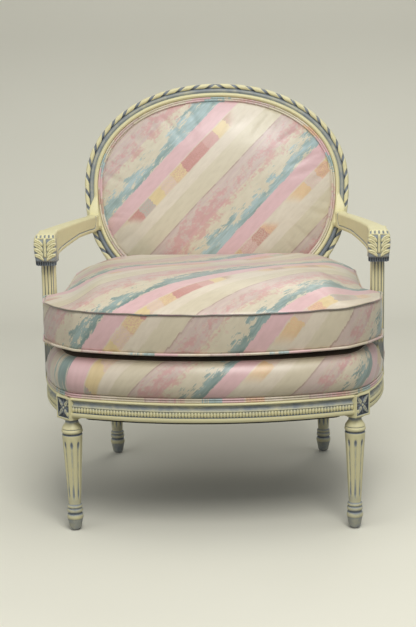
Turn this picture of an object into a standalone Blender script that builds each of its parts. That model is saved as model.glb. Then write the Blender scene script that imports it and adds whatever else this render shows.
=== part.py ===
"""Open-arm upholstered chair with an oval back and a loose T-shaped seat cushion.

Metres, +Z up. The front faces -Y and left is -X, as seen from the front. Heights are from the
floor. In plan, y starts at the front legs' axes until the root empty centres the whole chair.
"""
import math

import bmesh
import bpy
from mathutils import Matrix, Vector

# Fits
GAP = 0.0003                 # clearance between pieces that touch
BURY = 0.006                 # how far a piece runs into the one that it is cut by
OPEN_REACH = 0.060           # how far a cutter that opens to the outside runs on

# Seat frame in plan
FRONT_LEG_HALF = 0.281       # middle of the chair to a front leg's axis
REAR_LEG_HALF = 0.241
REAR_BLOCK_Y = 0.503         # front leg axis to the middle of a rear block
REAR_FOOT_Y = 0.522          # front leg axis to a rear foot
BLOCK_TURN = math.radians(45)    # front blocks face outwards by this much
FRONT_BLOCK = 0.042          # side of a front corner block
REAR_BLOCK = 0.038
FRONT_SETBACK = 0.004        # front rail behind the edge of the block
SIDE_SETBACK = 0.008
FRONT_BOW = 0.052            # bow of the front rail
REAR_BOW = 0.008
FRONT_STEPS = 12             # facets along the front, the side and the rear of the seat
SIDE_STEPS = 12
REAR_STEPS = 6
SIDE_START_HEADING = math.radians(60)
SIDE_START_PULL = 0.100
SIDE_END_HEADING = math.radians(124)
SIDE_END_PULL = 0.262

# Seat rails, from the bottom up
RAIL_BOTTOM = 0.242
RAIL_THICK = 0.028
FILLET_TALL = 0.0088
PEARL_TALL = 0.0132
COVE_TALL = 0.0110
BEAD_TALL = 0.0065
TONGUE_TALL = 0.0185         # hidden upper part that carries the upholstery
TONGUE_SETBACK = 0.008
COVE_DEEP = 0.006
PEARL_DEEP = 0.003           # quirks beside the pearl row
TENON_THICK = 0.009
TENON_TALL = 0.020
TENON_LONG = 0.008
TENON_ROOT = 0.030           # hidden inside the rail
BRACE_TALL = 0.026
BRACE_REACH = 0.070          # along each rail
BRACE_DROP = 0.008           # under the top of the rails

# Legs, from the floor up
GLIDE_TALL = 0.0025
GLIDE_RADIUS = 0.008
GLIDE_SHANK = 0.0016
GLIDE_SHANK_LONG = 0.012
GLIDE_SIDES = 10
FOOT_TALL = 0.0345
FOOT_BOTTOM_RADIUS = 0.0113
FOOT_TOP_RADIUS = 0.0158
GROOVE_TALL = 0.003
GROOVE_DEEP = 0.002
RING_TALL = 0.0085
RING_RADIUS = 0.0155
RING_STEP = 0.0008           # the upper ring is this much smaller
TAPER_BOTTOM_RADIUS = 0.0122
TAPER_TOP_RADIUS = 0.0203
FLUTE_COUNT = 8
FLUTE_DEEP = 0.0026
FLUTE_END = 0.010            # plain stretch and point at each end of a flute
FLUTE_SHARE = 0.18           # half width of a flute as a share of its pitch
COLLAR_TALL = 0.009
COLLAR_RADIUS = 0.0213
NECK_TALL = 0.022
NECK_RADIUS = 0.0150
NECK_FLARE = 0.0035
LEG_TOP = 0.235              # under side of the corner blocks
PANEL_FRAME = 0.0040         # plain frame round the sunk panel on a front block
PANEL_DEEP = 0.0030
LEAF_CLEAR = 0.001           # round the carved leaves in a panel
LEAF_TIP = 1.25              # reach of the leaves to the panel's corners, and of the gaps between
LEAF_WAIST = 0.50
STILE_WIDE = 0.030
STILE_DEEP = 0.026
STILE_INSET = 0.003          # a stile's upper end ahead of the back frame's rear face

# Arms and their posts
POST_Y = 0.145
POST_SIDE = 0.026
POST_TURN = math.radians(4)
REED_GROOVES = 3             # on each face
REED_DEEP = 0.0022
REED_HALF = 0.0014           # half width of a groove between reeds
REED_RUNOUT = 0.012          # length over which a groove runs out
POST_FOOT = 0.064            # plain carved stretch at the foot of a post
POST_SETBACK = 0.001         # post behind the rail's outer face
ARM_TOP = 0.585              # top of the handhold
ARM_DROP = 0.022             # the arm's top falls this much to the rear
ARM_TALL = 0.039
ARM_SOFT = 0.004             # eased edges
ARM_WIDE_FRONT = 0.034
ARM_WIDE_REAR = 0.023
ARM_FLARE = 0.036            # rise of the arm where it runs up the back frame
ARM_FLARE_LONG = 0.060
ARM_BEAD_TALL = 0.009        # moulded lower edge
ARM_BEAD_OUT = 0.0015
ARM_SEAT = 0.004             # how far an arm's end is sunk past the frame's middle
ARM_BEND = 0.010             # the bar stands this much wider than its end on the frame
HANDHOLD_WIDE = 0.043
HANDHOLD_TALL = 0.064
HANDHOLD_FRONT = 0.034       # ahead of the post's front face
HANDHOLD_REAR = 0.010        # behind the post's rear face
HANDHOLD_ROUND = 0.012       # rounding of the tip
HANDHOLD_SINK = 0.022
HANDHOLD_RISE = 0.014        # slope behind the handhold up to the bar
POST_TENON = 0.012
POST_TENON_LONG = 0.014

# Oval back
BACK_RAKE = math.radians(11)
BACK_AHEAD = 0.005           # the frame's middle plane ahead of the rear legs' line
OVAL_HALF_WIDE = 0.302
OVAL_CENTRE_Z = 0.620
OVAL_UP = 0.232
OVAL_DOWN = 0.265
OVAL_POWER = 2.35
OVAL_STEPS = 40
BACK_DEEP = 0.032
ROPE_WIDE = 0.010
BACK_COVE_WIDE = 0.011
BACK_BEAD_WIDE = 0.0085
LEDGE_WIDE = 0.012           # rebate that the back pad is tacked to
LEDGE_DEEP = 0.012
LEDGE_SHARE = 0.55           # front of the ledge, as a share of the frame's depth from the rear
CREST_STEP = 5               # joint of crest and stile, in steps up from the side
BOTTOM_STEP = -7             # joint of stile and bottom rail
PAD_CROWN = 0.030
PAD_SUNK = 0.009             # the pad's edge behind the frame's front face
PAD_EDGE = 0.001             # least thickness of the pad's edge
PANEL_CROWN = 0.008
PANEL_THICK = 0.004
STRAP_THICK = 0.0015
BACK_STRAP_WIDE = 0.060
BACK_STRAP_PITCH = 0.150
BACK_CROSS_PITCH = 0.170

# Seat upholstery
DECK_TALL = 0.084            # rail top to the rolled edge of the deck
DECK_CROWN = 0.009
DECK_BULGE = 0.004
DECK_ROLL = 0.022
DECK_WALL = 0.040
DECK_PAD = 0.028
SEAT_STRAP_WIDE = 0.089
SEAT_STRAP_PITCH = 0.150
SEAT_STRAP_MIDDLE = 0.240
SEAT_STRAP_INSET = 0.010
DUST_THICK = 0.0010
SPRING_RADIUS = 0.038
SPRING_WAIST = 0.026
SPRING_WIRE = 0.0019
SPRING_TURNS = 4
SPRING_STEPS = 8
DOUBLE_CORD = 0.0022         # radius of each cord of a double welt
WELT_CLEAR = 0.001           # from a welt's end to an arm post

# Loose cushion
CUSHION_BOX = 0.077          # boxing between the two welts
CUSHION_CROWN = 0.054
CUSHION_BELLY = 0.004        # lower welt above the underside
CUSHION_BULGE = 0.004        # boxing past its welts, halfway up
CUSHION_MIDDLE = 0.200       # top of the crown, behind the front legs' axes
CUSHION_OVERHANG = 0.005
CUSHION_EAR = 0.006          # ears fuller than the side rails, halfway along
CUSHION_REAR = 0.492
CUSHION_CORNER = 0.055       # rounding of the rear corners
CUSHION_SIDE_INSET = 0.022
CUSHION_CLEAR = 0.008        # round the arm posts
CUSHION_SLACK = 0.002        # each side between the handholds when the cushion is drawn out
CUSHION_WELT = 0.0030
WELT_SIDES = 6
WELT_RISE = 0.002            # welts stand this much higher at the ears than in the middle

# Values worked out from the sizes above
RAIL_TOP = RAIL_BOTTOM + FILLET_TALL + PEARL_TALL + COVE_TALL + BEAD_TALL
TONGUE_TOP = RAIL_TOP + TONGUE_TALL
DECK_TOP = RAIL_TOP + DECK_TALL
WELT_TALL = 4 * DOUBLE_CORD
BACK_FACE = ROPE_WIDE + BACK_COVE_WIDE + BACK_BEAD_WIDE
BACK_HALF = BACK_DEEP / 2
LEDGE_FRONT = LEDGE_SHARE * BACK_DEEP - BACK_HALF
LEDGE_REAR = LEDGE_FRONT - LEDGE_DEEP
STILE_TOP_REAR = STILE_INSET - BACK_HALF
BACK_ORIGIN = Vector((0, REAR_BLOCK_Y + (OVAL_CENTRE_Z - LEG_TOP) * math.tan(BACK_RAKE) - BACK_AHEAD,
                      OVAL_CENTRE_Z))


def clear_scene():
    for obj in list(bpy.data.objects):
        bpy.data.objects.remove(obj, do_unlink=True)


clear_scene()
ROOT = bpy.data.objects.new("chair_root", None)
bpy.context.collection.objects.link(ROOT)


def material(name, colour, roughness, metallic=0.0):
    mat = bpy.data.materials.new(name)
    mat.use_nodes = True
    shader = mat.node_tree.nodes["Principled BSDF"]
    shader.inputs["Base Color"].default_value = (*colour, 1)
    shader.inputs["Roughness"].default_value = roughness
    shader.inputs["Metallic"].default_value = metallic
    return mat


PAINT = material("painted_wood", (0.74, 0.70, 0.48), 0.45)
RAW_WOOD = material("raw_wood", (0.55, 0.40, 0.25), 0.7)
FABRIC = material("striped_fabric", (0.78, 0.62, 0.58), 0.5)
PLATFORM = material("deck_fabric", (0.76, 0.64, 0.58), 0.55)
JUTE = material("jute_webbing", (0.50, 0.38, 0.24), 0.9)
DUST = material("dust_cloth", (0.03, 0.03, 0.035), 0.9)
STEEL = material("spring_steel", (0.45, 0.45, 0.45), 0.35, 1.0)


# Making and cutting solids

def skin(rings, closed=False):
    """One closed surface through rings of points; a ring of one point is a pole."""
    bm = bmesh.new()
    loops = [[bm.verts.new(point) for point in ring] for ring in rings]
    pairs = list(zip(loops, loops[1:]))
    if closed:
        pairs.append((loops[-1], loops[0]))
    for low, high in pairs:
        count = max(len(low), len(high))
        for i in range(count):
            j = (i + 1) % count
            if len(low) == 1:
                bm.faces.new((low[0], high[i], high[j]))
            elif len(high) == 1:
                bm.faces.new((low[i], low[j], high[0]))
            else:
                bm.faces.new((low[i], low[j], high[j], high[i]))
    if not closed:
        for loop in (loops[0], loops[-1]):
            if len(loop) > 1:
                bm.faces.new(loop)
    bmesh.ops.recalc_face_normals(bm, faces=bm.faces)
    return bm


def box(size, place):
    bm = bmesh.new()
    bmesh.ops.create_cube(bm, size=1, matrix=place @ Matrix.Diagonal((*size, 1)))
    return bm


def add(name, bm, mat, smooth=False):
    mesh = bpy.data.meshes.new(name)
    bm.to_mesh(mesh)
    bm.free()
    mesh.materials.append(mat)
    if smooth:
        mesh.shade_smooth()
        mesh.set_sharp_from_angle(angle=math.radians(35))
    obj = bpy.data.objects.new(name, mesh)
    bpy.context.collection.objects.link(obj)
    obj.parent = ROOT
    return obj


def guide(name, bm):
    """A shape that only cuts or joins others."""
    obj = add(name, bm, RAW_WOOD)
    obj.hide_render = True
    obj.display_type = "WIRE"
    return obj


def combine(target, other, operation):
    modifier = target.modifiers.new(f"{operation.lower()}_{other.name}", "BOOLEAN")
    modifier.operation = operation
    modifier.object = other
    modifier.solver = "EXACT"


def cut(target, *cutters):
    for cutter in cutters:
        combine(target, cutter, "DIFFERENCE")


def turned_about_z(x, y, z, turn):
    return Matrix.Translation((x, y, z)) @ Matrix.Rotation(turn, 4, "Z")


# Lines of the seat in plan, worked out for the right half

def bezier(p0, p1, p2, p3, t):
    s = 1 - t
    return p0 * s**3 + p1 * (3 * s * s * t) + p2 * (3 * s * t * t) + p3 * t**3


def heading(angle):
    return Vector((math.cos(angle), math.sin(angle)))


FRONT_AXIS = Vector((FRONT_LEG_HALF, 0))
REAR_AXIS = Vector((REAR_LEG_HALF, REAR_BLOCK_Y))
BLOCK_OUT = heading(BLOCK_TURN - math.pi / 2)
BLOCK_ALONG = heading(BLOCK_TURN)
FRONT_END = FRONT_AXIS + (BLOCK_OUT - BLOCK_ALONG) * (FRONT_BLOCK / 2) - BLOCK_OUT * FRONT_SETBACK
SIDE_START = FRONT_AXIS + (BLOCK_OUT + BLOCK_ALONG) * (FRONT_BLOCK / 2) - BLOCK_OUT * SIDE_SETBACK
SIDE_END = REAR_AXIS + Vector((REAR_BLOCK / 2 - BURY, REAR_BLOCK / 2 - GAP * 6))
BOW_RADIUS = (FRONT_END.x**2 + FRONT_BOW**2) / (2 * FRONT_BOW)
BOW_CENTRE_Y = FRONT_END.y - FRONT_BOW + BOW_RADIUS
BOW_ANGLE = math.asin(FRONT_END.x / BOW_RADIUS)
REAR_HALF = REAR_LEG_HALF - REAR_BLOCK / 2


def front_point(angle):
    return Vector((BOW_RADIUS * math.sin(angle), BOW_CENTRE_Y - BOW_RADIUS * math.cos(angle)))


def front_line(extra=0.0):
    """Outer face of the front rail from left to right, run on by extra at both ends."""
    points = [front_point(BOW_ANGLE * (2 * i / FRONT_STEPS - 1)) for i in range(FRONT_STEPS + 1)]
    if extra:
        reach = BOW_ANGLE + extra / BOW_RADIUS
        points = [front_point(-reach)] + points + [front_point(reach)]
    return points


def side_point(t):
    """Outer face of the right side rail, from the front block (0) to the rear block (1)."""
    first = SIDE_START + heading(SIDE_START_HEADING) * SIDE_START_PULL
    last = SIDE_END - heading(SIDE_END_HEADING) * SIDE_END_PULL
    return bezier(SIDE_START, first, last, SIDE_END, t)


def side_at(y):
    """Where along the side rail its outer face reaches y."""
    low, high = 0.0, 1.0
    for _ in range(40):
        middle = (low + high) / 2
        if side_point(middle).y < y:
            low = middle
        else:
            high = middle
    return low


def side_line(start=0.0, end=1.0):
    """Facets of the right side rail's outer face between two places along it."""
    inner = [i / SIDE_STEPS for i in range(SIDE_STEPS + 1) if start < i / SIDE_STEPS < end]
    return [side_point(t) for t in [start] + inner + [end]]


def rear_point(x):
    return Vector((x, REAR_BLOCK_Y + RAIL_THICK / 2 + REAR_BOW * (1 - (x / REAR_HALF) ** 2)))


def rear_line(extra=0.0):
    """Outer face of the rear rail from right to left, run on by extra at both ends."""
    points = [rear_point(REAR_HALF * (1 - 2 * i / REAR_STEPS)) for i in range(REAR_STEPS + 1)]
    if extra > 0:
        points = [rear_point(REAR_HALF + extra)] + points + [rear_point(-REAR_HALF - extra)]
    if extra < 0:
        points[0], points[-1] = rear_point(REAR_HALF + extra), rear_point(-REAR_HALF - extra)
    return points


def mirrored(points):
    """The same points on the other side of the chair, in the opposite order."""
    return [Vector((-p.x, p.y)) for p in reversed(points)]


def normals(points, closed=False):
    """Unit vectors to the right of a path, which is outwards on the seat's loop."""
    count = len(points)
    result = []
    for i in range(count):
        if closed:
            along = points[(i + 1) % count] - points[i - 1]
        else:
            along = points[min(i + 1, count - 1)] - points[max(i - 1, 0)]
        result.append(Vector((along.y, -along.x)).normalized())
    return result


def offset(points, distance, closed=False):
    return [p + n * distance for p, n in zip(points, normals(points, closed))]


def seat_loop():
    """Closed outline of the rails' outer faces, anticlockwise from above."""
    side = side_line()
    return front_line() + side + rear_line() + mirrored(side)


def walk(points, distance):
    """The point this far along a chain of facets from its first point."""
    for start, end in zip(points, points[1:]):
        length = (end - start).length
        if distance <= length:
            return start.lerp(end, distance / length)
        distance -= length
    return points[-1]


def sweep(points, section, closed=False):
    """Carry a section of (outwards, height) pairs along a plan line."""
    rings = []
    for p, n in zip(points, normals(points, closed)):
        rings.append([Vector((p.x + n.x * out, p.y + n.y * out, z)) for out, z in section])
    return skin(rings, closed)


def level(points, z):
    return [Vector((p.x, p.y, z)) for p in points]


# The back's own frame: across, up the rake, and forwards from its middle plane

def back_point(across, up, forward):
    x, y, z = BACK_ORIGIN
    sine, cosine = math.sin(BACK_RAKE), math.cos(BACK_RAKE)
    return Vector((x + across, y + up * sine - forward * cosine, z + up * cosine + forward * sine))


def oval(angle, inset=0.0):
    """A point of the back's outline in its own plane, moved inwards by inset."""
    def outline(a):
        c, s = math.cos(a), math.sin(a)
        half_tall = OVAL_UP if s > 0 else OVAL_DOWN
        return Vector((math.copysign(OVAL_HALF_WIDE * abs(c) ** (2 / OVAL_POWER), c),
                       math.copysign(half_tall * abs(s) ** (2 / OVAL_POWER), s)))
    along = outline(angle + 0.01) - outline(angle - 0.01)
    outward = Vector((along.y, -along.x)).normalized()
    return outline(angle) - outward * inset


def oval_ring(inset, forward, steps=OVAL_STEPS):
    points = [oval(2 * math.pi * i / steps, inset) for i in range(steps)]
    return [back_point(p.x, p.y, forward) for p in points]


def oval_sweep(section, start, end, slip=0.0):
    """Carry a section along the oval from one step to another, short by slip at both ends."""
    rings = []
    for step in range(start, end + 1):
        angle = 2 * math.pi * step / OVAL_STEPS
        if step == start:
            angle += slip
        if step == end:
            angle -= slip
        ring = []
        for inset, forward in section:
            p = oval(angle, inset)
            ring.append(back_point(p.x, p.y, forward))
        rings.append(ring)
    return skin(rings)


def oval_angle_at(across, inset):
    """Angle on the lower right of the oval where it is this far across."""
    low, high = -math.pi / 2, 0.0
    for _ in range(40):
        middle = (low + high) / 2
        if oval(middle, inset).x < across:
            low = middle
        else:
            high = middle
    return low


# Seat frame

def rail_section():
    """Moulded face of the rails: fillet, pearl row, cove, bead, then the hidden tongue."""
    z1 = RAIL_BOTTOM + FILLET_TALL
    z2 = z1 + PEARL_TALL
    z3 = z2 + COVE_TALL
    return [(-RAIL_THICK, RAIL_BOTTOM), (0, RAIL_BOTTOM), (0, z1),
            (-PEARL_DEEP, z1 + PEARL_TALL * 0.1), (0, z1 + PEARL_TALL * 0.45), (-PEARL_DEEP, z2),
            (-COVE_DEEP, z2 + COVE_TALL * 0.3), (-COVE_DEEP, z2 + COVE_TALL * 0.7),
            (-BEAD_TALL * 0.2, z3), (0, z3 + BEAD_TALL * 0.4), (0, RAIL_TOP), (-TONGUE_SETBACK, RAIL_TOP),
            (-TONGUE_SETBACK, TONGUE_TOP), (-RAIL_THICK, TONGUE_TOP)]


def rear_section():
    return [(-RAIL_THICK, RAIL_BOTTOM), (-PEARL_DEEP, RAIL_BOTTOM), (0, RAIL_BOTTOM + PEARL_DEEP),
            (0, RAIL_TOP), (-TONGUE_SETBACK, RAIL_TOP), (-TONGUE_SETBACK, TONGUE_TOP),
            (-RAIL_THICK, TONGUE_TOP)]


def front_block_place(side, z):
    return turned_about_z(side * FRONT_LEG_HALF, 0, z, side * BLOCK_TURN)


def block_cutters():
    """The four leg blocks, grown by the clearance, that the rails butt against."""
    tall = TONGUE_TOP - LEG_TOP + 4 * BURY
    middle = (TONGUE_TOP + LEG_TOP) / 2
    cutters = {}
    for word, side in (("left", -1), ("right", 1)):
        grown = FRONT_BLOCK + 2 * GAP
        cutters["front", side] = guide(f"front_{word}_block_cutter",
                                       box((grown, grown, tall), front_block_place(side, middle)))
        grown = REAR_BLOCK + 2 * GAP
        place = Matrix.Translation((side * REAR_LEG_HALF, REAR_BLOCK_Y, middle))
        cutters["rear", side] = guide(f"rear_{word}_block_cutter", box((grown, grown, tall), place))
    return cutters


def tenon(rail, end_name, point, inward, out_normal):
    """A box tenon on the end of a rail; returns the cutter for its mortise."""
    centre = point - out_normal * (RAIL_THICK / 2)
    turn = math.atan2(inward.y, inward.x)
    middle_z = (RAIL_BOTTOM + RAIL_TOP) / 2
    shapes = []
    for word, grow in (("tenon", 0.0), ("mortise", GAP)):
        size = (TENON_ROOT + TENON_LONG + grow, TENON_THICK + 2 * grow, TENON_TALL + 2 * grow)
        start = centre + inward * ((TENON_LONG - TENON_ROOT + grow) / 2)
        shapes.append(guide(f"{rail.name}_{end_name}_{word}",
                            box(size, turned_about_z(start.x, start.y, middle_z, turn))))
    combine(rail, shapes[0], "UNION")
    return shapes[1]


def seat_rails(cutters):
    """The four rails; returns them and the mortise cutters for each leg."""
    mortises = {key: [] for key in cutters}
    line = front_line(BURY)
    front = add("front_seat_rail", sweep(line, rail_section()), PAINT)
    cut(front, cutters["front", -1], cutters["front", 1])
    for side in (-1, 1):
        along = heading(BOW_ANGLE)
        out = Vector((side * along.y, -along.x))
        point = Vector((side * FRONT_END.x, FRONT_END.y))
        mortises["front", side].append(tenon(front, f"end{side:+d}", point,
                                             Vector((side * along.x, along.y)), out))
    rails = {"front": front}
    for word, side in (("left", -1), ("right", 1)):
        lead_in = SIDE_START - heading(SIDE_START_HEADING) * (2 * BURY)
        line = [lead_in] + side_line()
        if side < 0:
            line = mirrored(line)
        rail = add(f"{word}_side_rail", sweep(line, rail_section()), PAINT)
        cut(rail, cutters["front", side], cutters["rear", side])
        for end, point, angle in (("front", SIDE_START, SIDE_START_HEADING + math.pi),
                                  ("rear", SIDE_END, SIDE_END_HEADING)):
            into = heading(angle)
            rail_way = into if end == "rear" else -into
            out = Vector((side * rail_way.y, -rail_way.x))
            start = point - into * (BURY if end == "rear" else 0)
            start = Vector((side * start.x, start.y))
            into = Vector((side * into.x, into.y))
            mortises[end, side].append(tenon(rail, end, start, into, out))
        rails[side] = rail
    rear = add("rear_seat_rail", sweep(rear_line(BURY), rear_section()), PAINT)
    cut(rear, cutters["rear", -1], cutters["rear", 1])
    for side in (-1, 1):
        point = rear_point(side * REAR_HALF)
        mortises["rear", side].append(tenon(rear, f"end{side:+d}", point,
                                            Vector((side, 0)), Vector((0, 1))))
    rails["rear"] = rear
    return rails, mortises


# Legs and glides

def leg_profile():
    """Turned leg from the foot up, as (height, radius, flute depth)."""
    z = FOOT_TALL + GROOVE_TALL
    rows = [(GLIDE_TALL + GAP, FOOT_BOTTOM_RADIUS, 0), (FOOT_TALL * 0.75, FOOT_TOP_RADIUS, 0),
            (FOOT_TALL, FOOT_TOP_RADIUS, 0), (z, RING_RADIUS - GROOVE_DEEP, 0)]
    for narrower in (0.0, RING_STEP):
        rows += [(z + RING_TALL * 0.3, RING_RADIUS - narrower, 0),
                 (z + RING_TALL * 0.8, RING_RADIUS - narrower, 0)]
        z += RING_TALL
    rows.append((z, TAPER_BOTTOM_RADIUS, 0))
    top = LEG_TOP - NECK_TALL - COLLAR_TALL - GROOVE_TALL
    slope = (TAPER_TOP_RADIUS - TAPER_BOTTOM_RADIUS) / (top - z)
    for height, deep in ((z + FLUTE_END, 0), (z + 2 * FLUTE_END, FLUTE_DEEP),
                         (top - 2.2 * FLUTE_END, FLUTE_DEEP), (top - 0.8 * FLUTE_END, 0), (top, 0)):
        rows.append((height, TAPER_BOTTOM_RADIUS + slope * (height - z), deep))
    z = top + GROOVE_TALL
    rows += [(top + GROOVE_TALL * 0.5, TAPER_TOP_RADIUS - GROOVE_DEEP, 0),
             (z + COLLAR_TALL * 0.2, COLLAR_RADIUS, 0), (z + COLLAR_TALL * 0.7, COLLAR_RADIUS, 0),
             (z + COLLAR_TALL + NECK_TALL * 0.45, NECK_RADIUS, 0),
             (LEG_TOP - GAP, NECK_RADIUS + NECK_FLARE, 0),
             (LEG_TOP + BURY, NECK_RADIUS + NECK_FLARE, 0)]
    return rows


def turned_leg(axis_at):
    """Rings of a turned, fluted leg; axis_at gives the axis at a height."""
    pitch = 2 * math.pi / FLUTE_COUNT
    rings = []
    for z, radius, deep in leg_profile():
        x, y = axis_at(z)
        ring = []
        for flute in range(FLUTE_COUNT):
            middle = flute * pitch - math.pi / 2
            for share, sunk in ((-FLUTE_SHARE, 0), (0, deep), (FLUTE_SHARE, 0)):
                angle = middle + share * pitch
                reach = radius - sunk
                ring.append(Vector((x + reach * math.cos(angle), y + reach * math.sin(angle), z)))
        rings.append(ring)
    return skin(rings)


def corner_block():
    """Front corner block with a sunk panel on its outward face, in its own frame."""
    tall = RAIL_TOP - LEG_TOP
    bm = box((FRONT_BLOCK, FRONT_BLOCK, tall), Matrix.Translation((0, 0, LEG_TOP + tall / 2)))
    face = min(bm.faces, key=lambda f: f.calc_center_median().y)
    bmesh.ops.inset_region(bm, faces=[face], thickness=PANEL_FRAME)
    sunk = bmesh.ops.extrude_face_region(bm, geom=[face])
    verts = [v for v in sunk["geom"] if isinstance(v, bmesh.types.BMVert)]
    bmesh.ops.translate(bm, verts=verts, vec=(0, PANEL_DEEP, 0))
    bmesh.ops.delete(bm, geom=[face], context="FACES_ONLY")
    bmesh.ops.recalc_face_normals(bm, faces=bm.faces)
    return bm


def rosette():
    """Four leaves to the corners of the panel, rising to a boss, in the block's frame."""
    middle_z = (LEG_TOP + RAIL_TOP) / 2
    floor_y = -FRONT_BLOCK / 2 + PANEL_DEEP
    reach = FRONT_BLOCK / 2 - PANEL_FRAME - LEAF_CLEAR
    rings = [[Vector((0, floor_y + PANEL_DEEP / 2, middle_z))]]
    for depth in (PANEL_DEEP / 2, -PANEL_DEEP / 4):
        ring = []
        for i in range(8):
            angle = math.pi / 4 * i
            length = reach * (LEAF_TIP if i % 2 else LEAF_WAIST)
            ring.append(Vector((length * math.cos(angle), floor_y + depth,
                                middle_z + length * math.sin(angle))))
        rings.append(ring)
    rings.append([Vector((0, floor_y - PANEL_DEEP, middle_z))])
    return skin(rings)


def glide(name, x, y):
    """Nail-on glide: a domed disc under the foot with its shank up in the wood."""
    def ring(radius, z):
        turns = [2 * math.pi * i / GLIDE_SIDES for i in range(GLIDE_SIDES)]
        return [Vector((x + radius * math.cos(a), y + radius * math.sin(a), z)) for a in turns]

    shank_top = GLIDE_TALL + GLIDE_SHANK_LONG
    rings = [ring(GLIDE_RADIUS * 0.8, 0), ring(GLIDE_RADIUS, GLIDE_TALL * 0.5),
             ring(GLIDE_RADIUS, GLIDE_TALL), ring(GLIDE_SHANK, GLIDE_TALL), ring(GLIDE_SHANK, shank_top)]
    add(name, skin(rings), STEEL)
    bore = GLIDE_SHANK + GAP
    return guide(f"{name}_bore", skin([ring(bore, -BURY), ring(bore, shank_top + GAP)]))


def front_legs(mortises):
    for word, side in (("left", -1), ("right", 1)):
        axis = (side * FRONT_LEG_HALF, 0)
        leg = add(f"front_{word}_leg", turned_leg(lambda z, axis=axis: axis), PAINT, smooth=True)
        place = front_block_place(side, 0)
        for part, shape in (("block", corner_block()), ("rosette", rosette())):
            bmesh.ops.transform(shape, matrix=place, verts=shape.verts)
            combine(leg, guide(f"front_{word}_leg_{part}", shape), "UNION")
        cut(leg, *mortises["front", side], glide(f"front_{word}_glide", *axis))


def stile_ring(side, bottom):
    """Section of a rear stile at the seat block, or where it ends inside the oval frame."""
    start_z = TONGUE_TOP - BURY
    start_y = REAR_BLOCK_Y + (start_z - (LEG_TOP + TONGUE_TOP) / 2) * math.tan(BACK_RAKE)
    ring = []
    for x_sign, deep_sign in ((-1, -1), (1, -1), (1, 1), (-1, 1)):
        across = REAR_LEG_HALF + x_sign * STILE_WIDE / 2
        if bottom:
            ring.append(Vector((side * across, start_y + deep_sign * STILE_DEEP / 2, start_z)))
        else:
            middle = BACK_FACE / 2
            p = oval(oval_angle_at(across, middle), middle)
            forward = LEDGE_FRONT if deep_sign < 0 else STILE_TOP_REAR
            ring.append(back_point(side * across, p.y, forward))
    return ring


def rear_legs(mortises, frame_cutters):
    for word, side in (("left", -1), ("right", 1)):
        lean = (REAR_BLOCK_Y - REAR_FOOT_Y) / LEG_TOP

        def axis_at(z, side=side, lean=lean):
            return side * REAR_LEG_HALF, REAR_FOOT_Y + lean * min(z, LEG_TOP)

        leg = add(f"rear_{word}_leg", turned_leg(axis_at), PAINT, smooth=True)
        tall = TONGUE_TOP - LEG_TOP
        place = Matrix.Translation((side * REAR_LEG_HALF, REAR_BLOCK_Y, LEG_TOP + tall / 2))
        combine(leg, guide(f"rear_{word}_leg_block", box((REAR_BLOCK, REAR_BLOCK, tall), place)), "UNION")
        stile = skin([stile_ring(side, True), stile_ring(side, False)])
        combine(leg, guide(f"rear_{word}_leg_stile", stile), "UNION")
        cut(leg, *mortises["rear", side], frame_cutters[side],
            glide(f"rear_{word}_glide", *axis_at(0)))


def corner_braces():
    """Wooden blocks across the inner corners of the seat frame."""
    low = TONGUE_TOP - BRACE_TALL - BRACE_DROP
    inner = -(RAIL_THICK + GAP)
    front_inside = list(reversed(offset(front_line(), inner)))
    side_inside = offset(side_line(), inner)
    rear_inside = offset(rear_line(), inner)
    block_back = FRONT_AXIS - BLOCK_OUT * (FRONT_BLOCK / 2 + GAP)
    half_block = BLOCK_ALONG * (FRONT_BLOCK / 2)
    corner = REAR_AXIS - Vector((1, 1)) * (REAR_BLOCK / 2 + GAP)
    plan = {"front": [walk(front_inside, BRACE_REACH), block_back - half_block, block_back + half_block,
                      walk(side_inside, BRACE_REACH)],
            "rear": [walk(list(reversed(side_inside)), BRACE_REACH), corner,
                     walk(rear_inside, BRACE_REACH)]}
    for end, points in plan.items():
        for word, side in (("left", -1), ("right", 1)):
            points_here = [Vector((side * p.x, p.y)) for p in points]
            add(f"{end}_{word}_corner_brace",
                skin([level(points_here, low), level(points_here, low + BRACE_TALL)]), RAW_WOOD)


# Oval back frame

def back_section(grow=0.0):
    """Frame of the back as (inset, forward): rope bead, cove, inner bead, tacking ledge."""
    front = BACK_HALF
    cove_from = ROPE_WIDE
    bead_from = ROPE_WIDE + BACK_COVE_WIDE
    ledge_in = BACK_FACE + LEDGE_WIDE
    section = [(0.001, -BACK_HALF), (0, front - 0.009), (ROPE_WIDE * 0.15, front - 0.003),
               (ROPE_WIDE * 0.5, front), (ROPE_WIDE * 0.9, front - 0.003),
               (cove_from + 0.001, front - 0.008), (cove_from + BACK_COVE_WIDE * 0.6, front - 0.009),
               (bead_from, front - 0.004), (bead_from + BACK_BEAD_WIDE * 0.5, front),
               (BACK_FACE, front - 0.003), (BACK_FACE, LEDGE_FRONT), (ledge_in, LEDGE_FRONT),
               (ledge_in, LEDGE_REAR), (BACK_FACE, LEDGE_REAR), (BACK_FACE, -BACK_HALF)]
    if not grow:
        return section
    points = [Vector(p) for p in section]
    count = len(points)
    grown = []
    for i in range(count):
        before = (points[i] - points[i - 1]).normalized()
        after = (points[(i + 1) % count] - points[i]).normalized()
        bisector = Vector((-(before.y + after.y), before.x + after.x)).normalized()
        grown.append(points[i] + bisector * (1.3 * grow))
    return [tuple(p) for p in grown]


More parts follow.
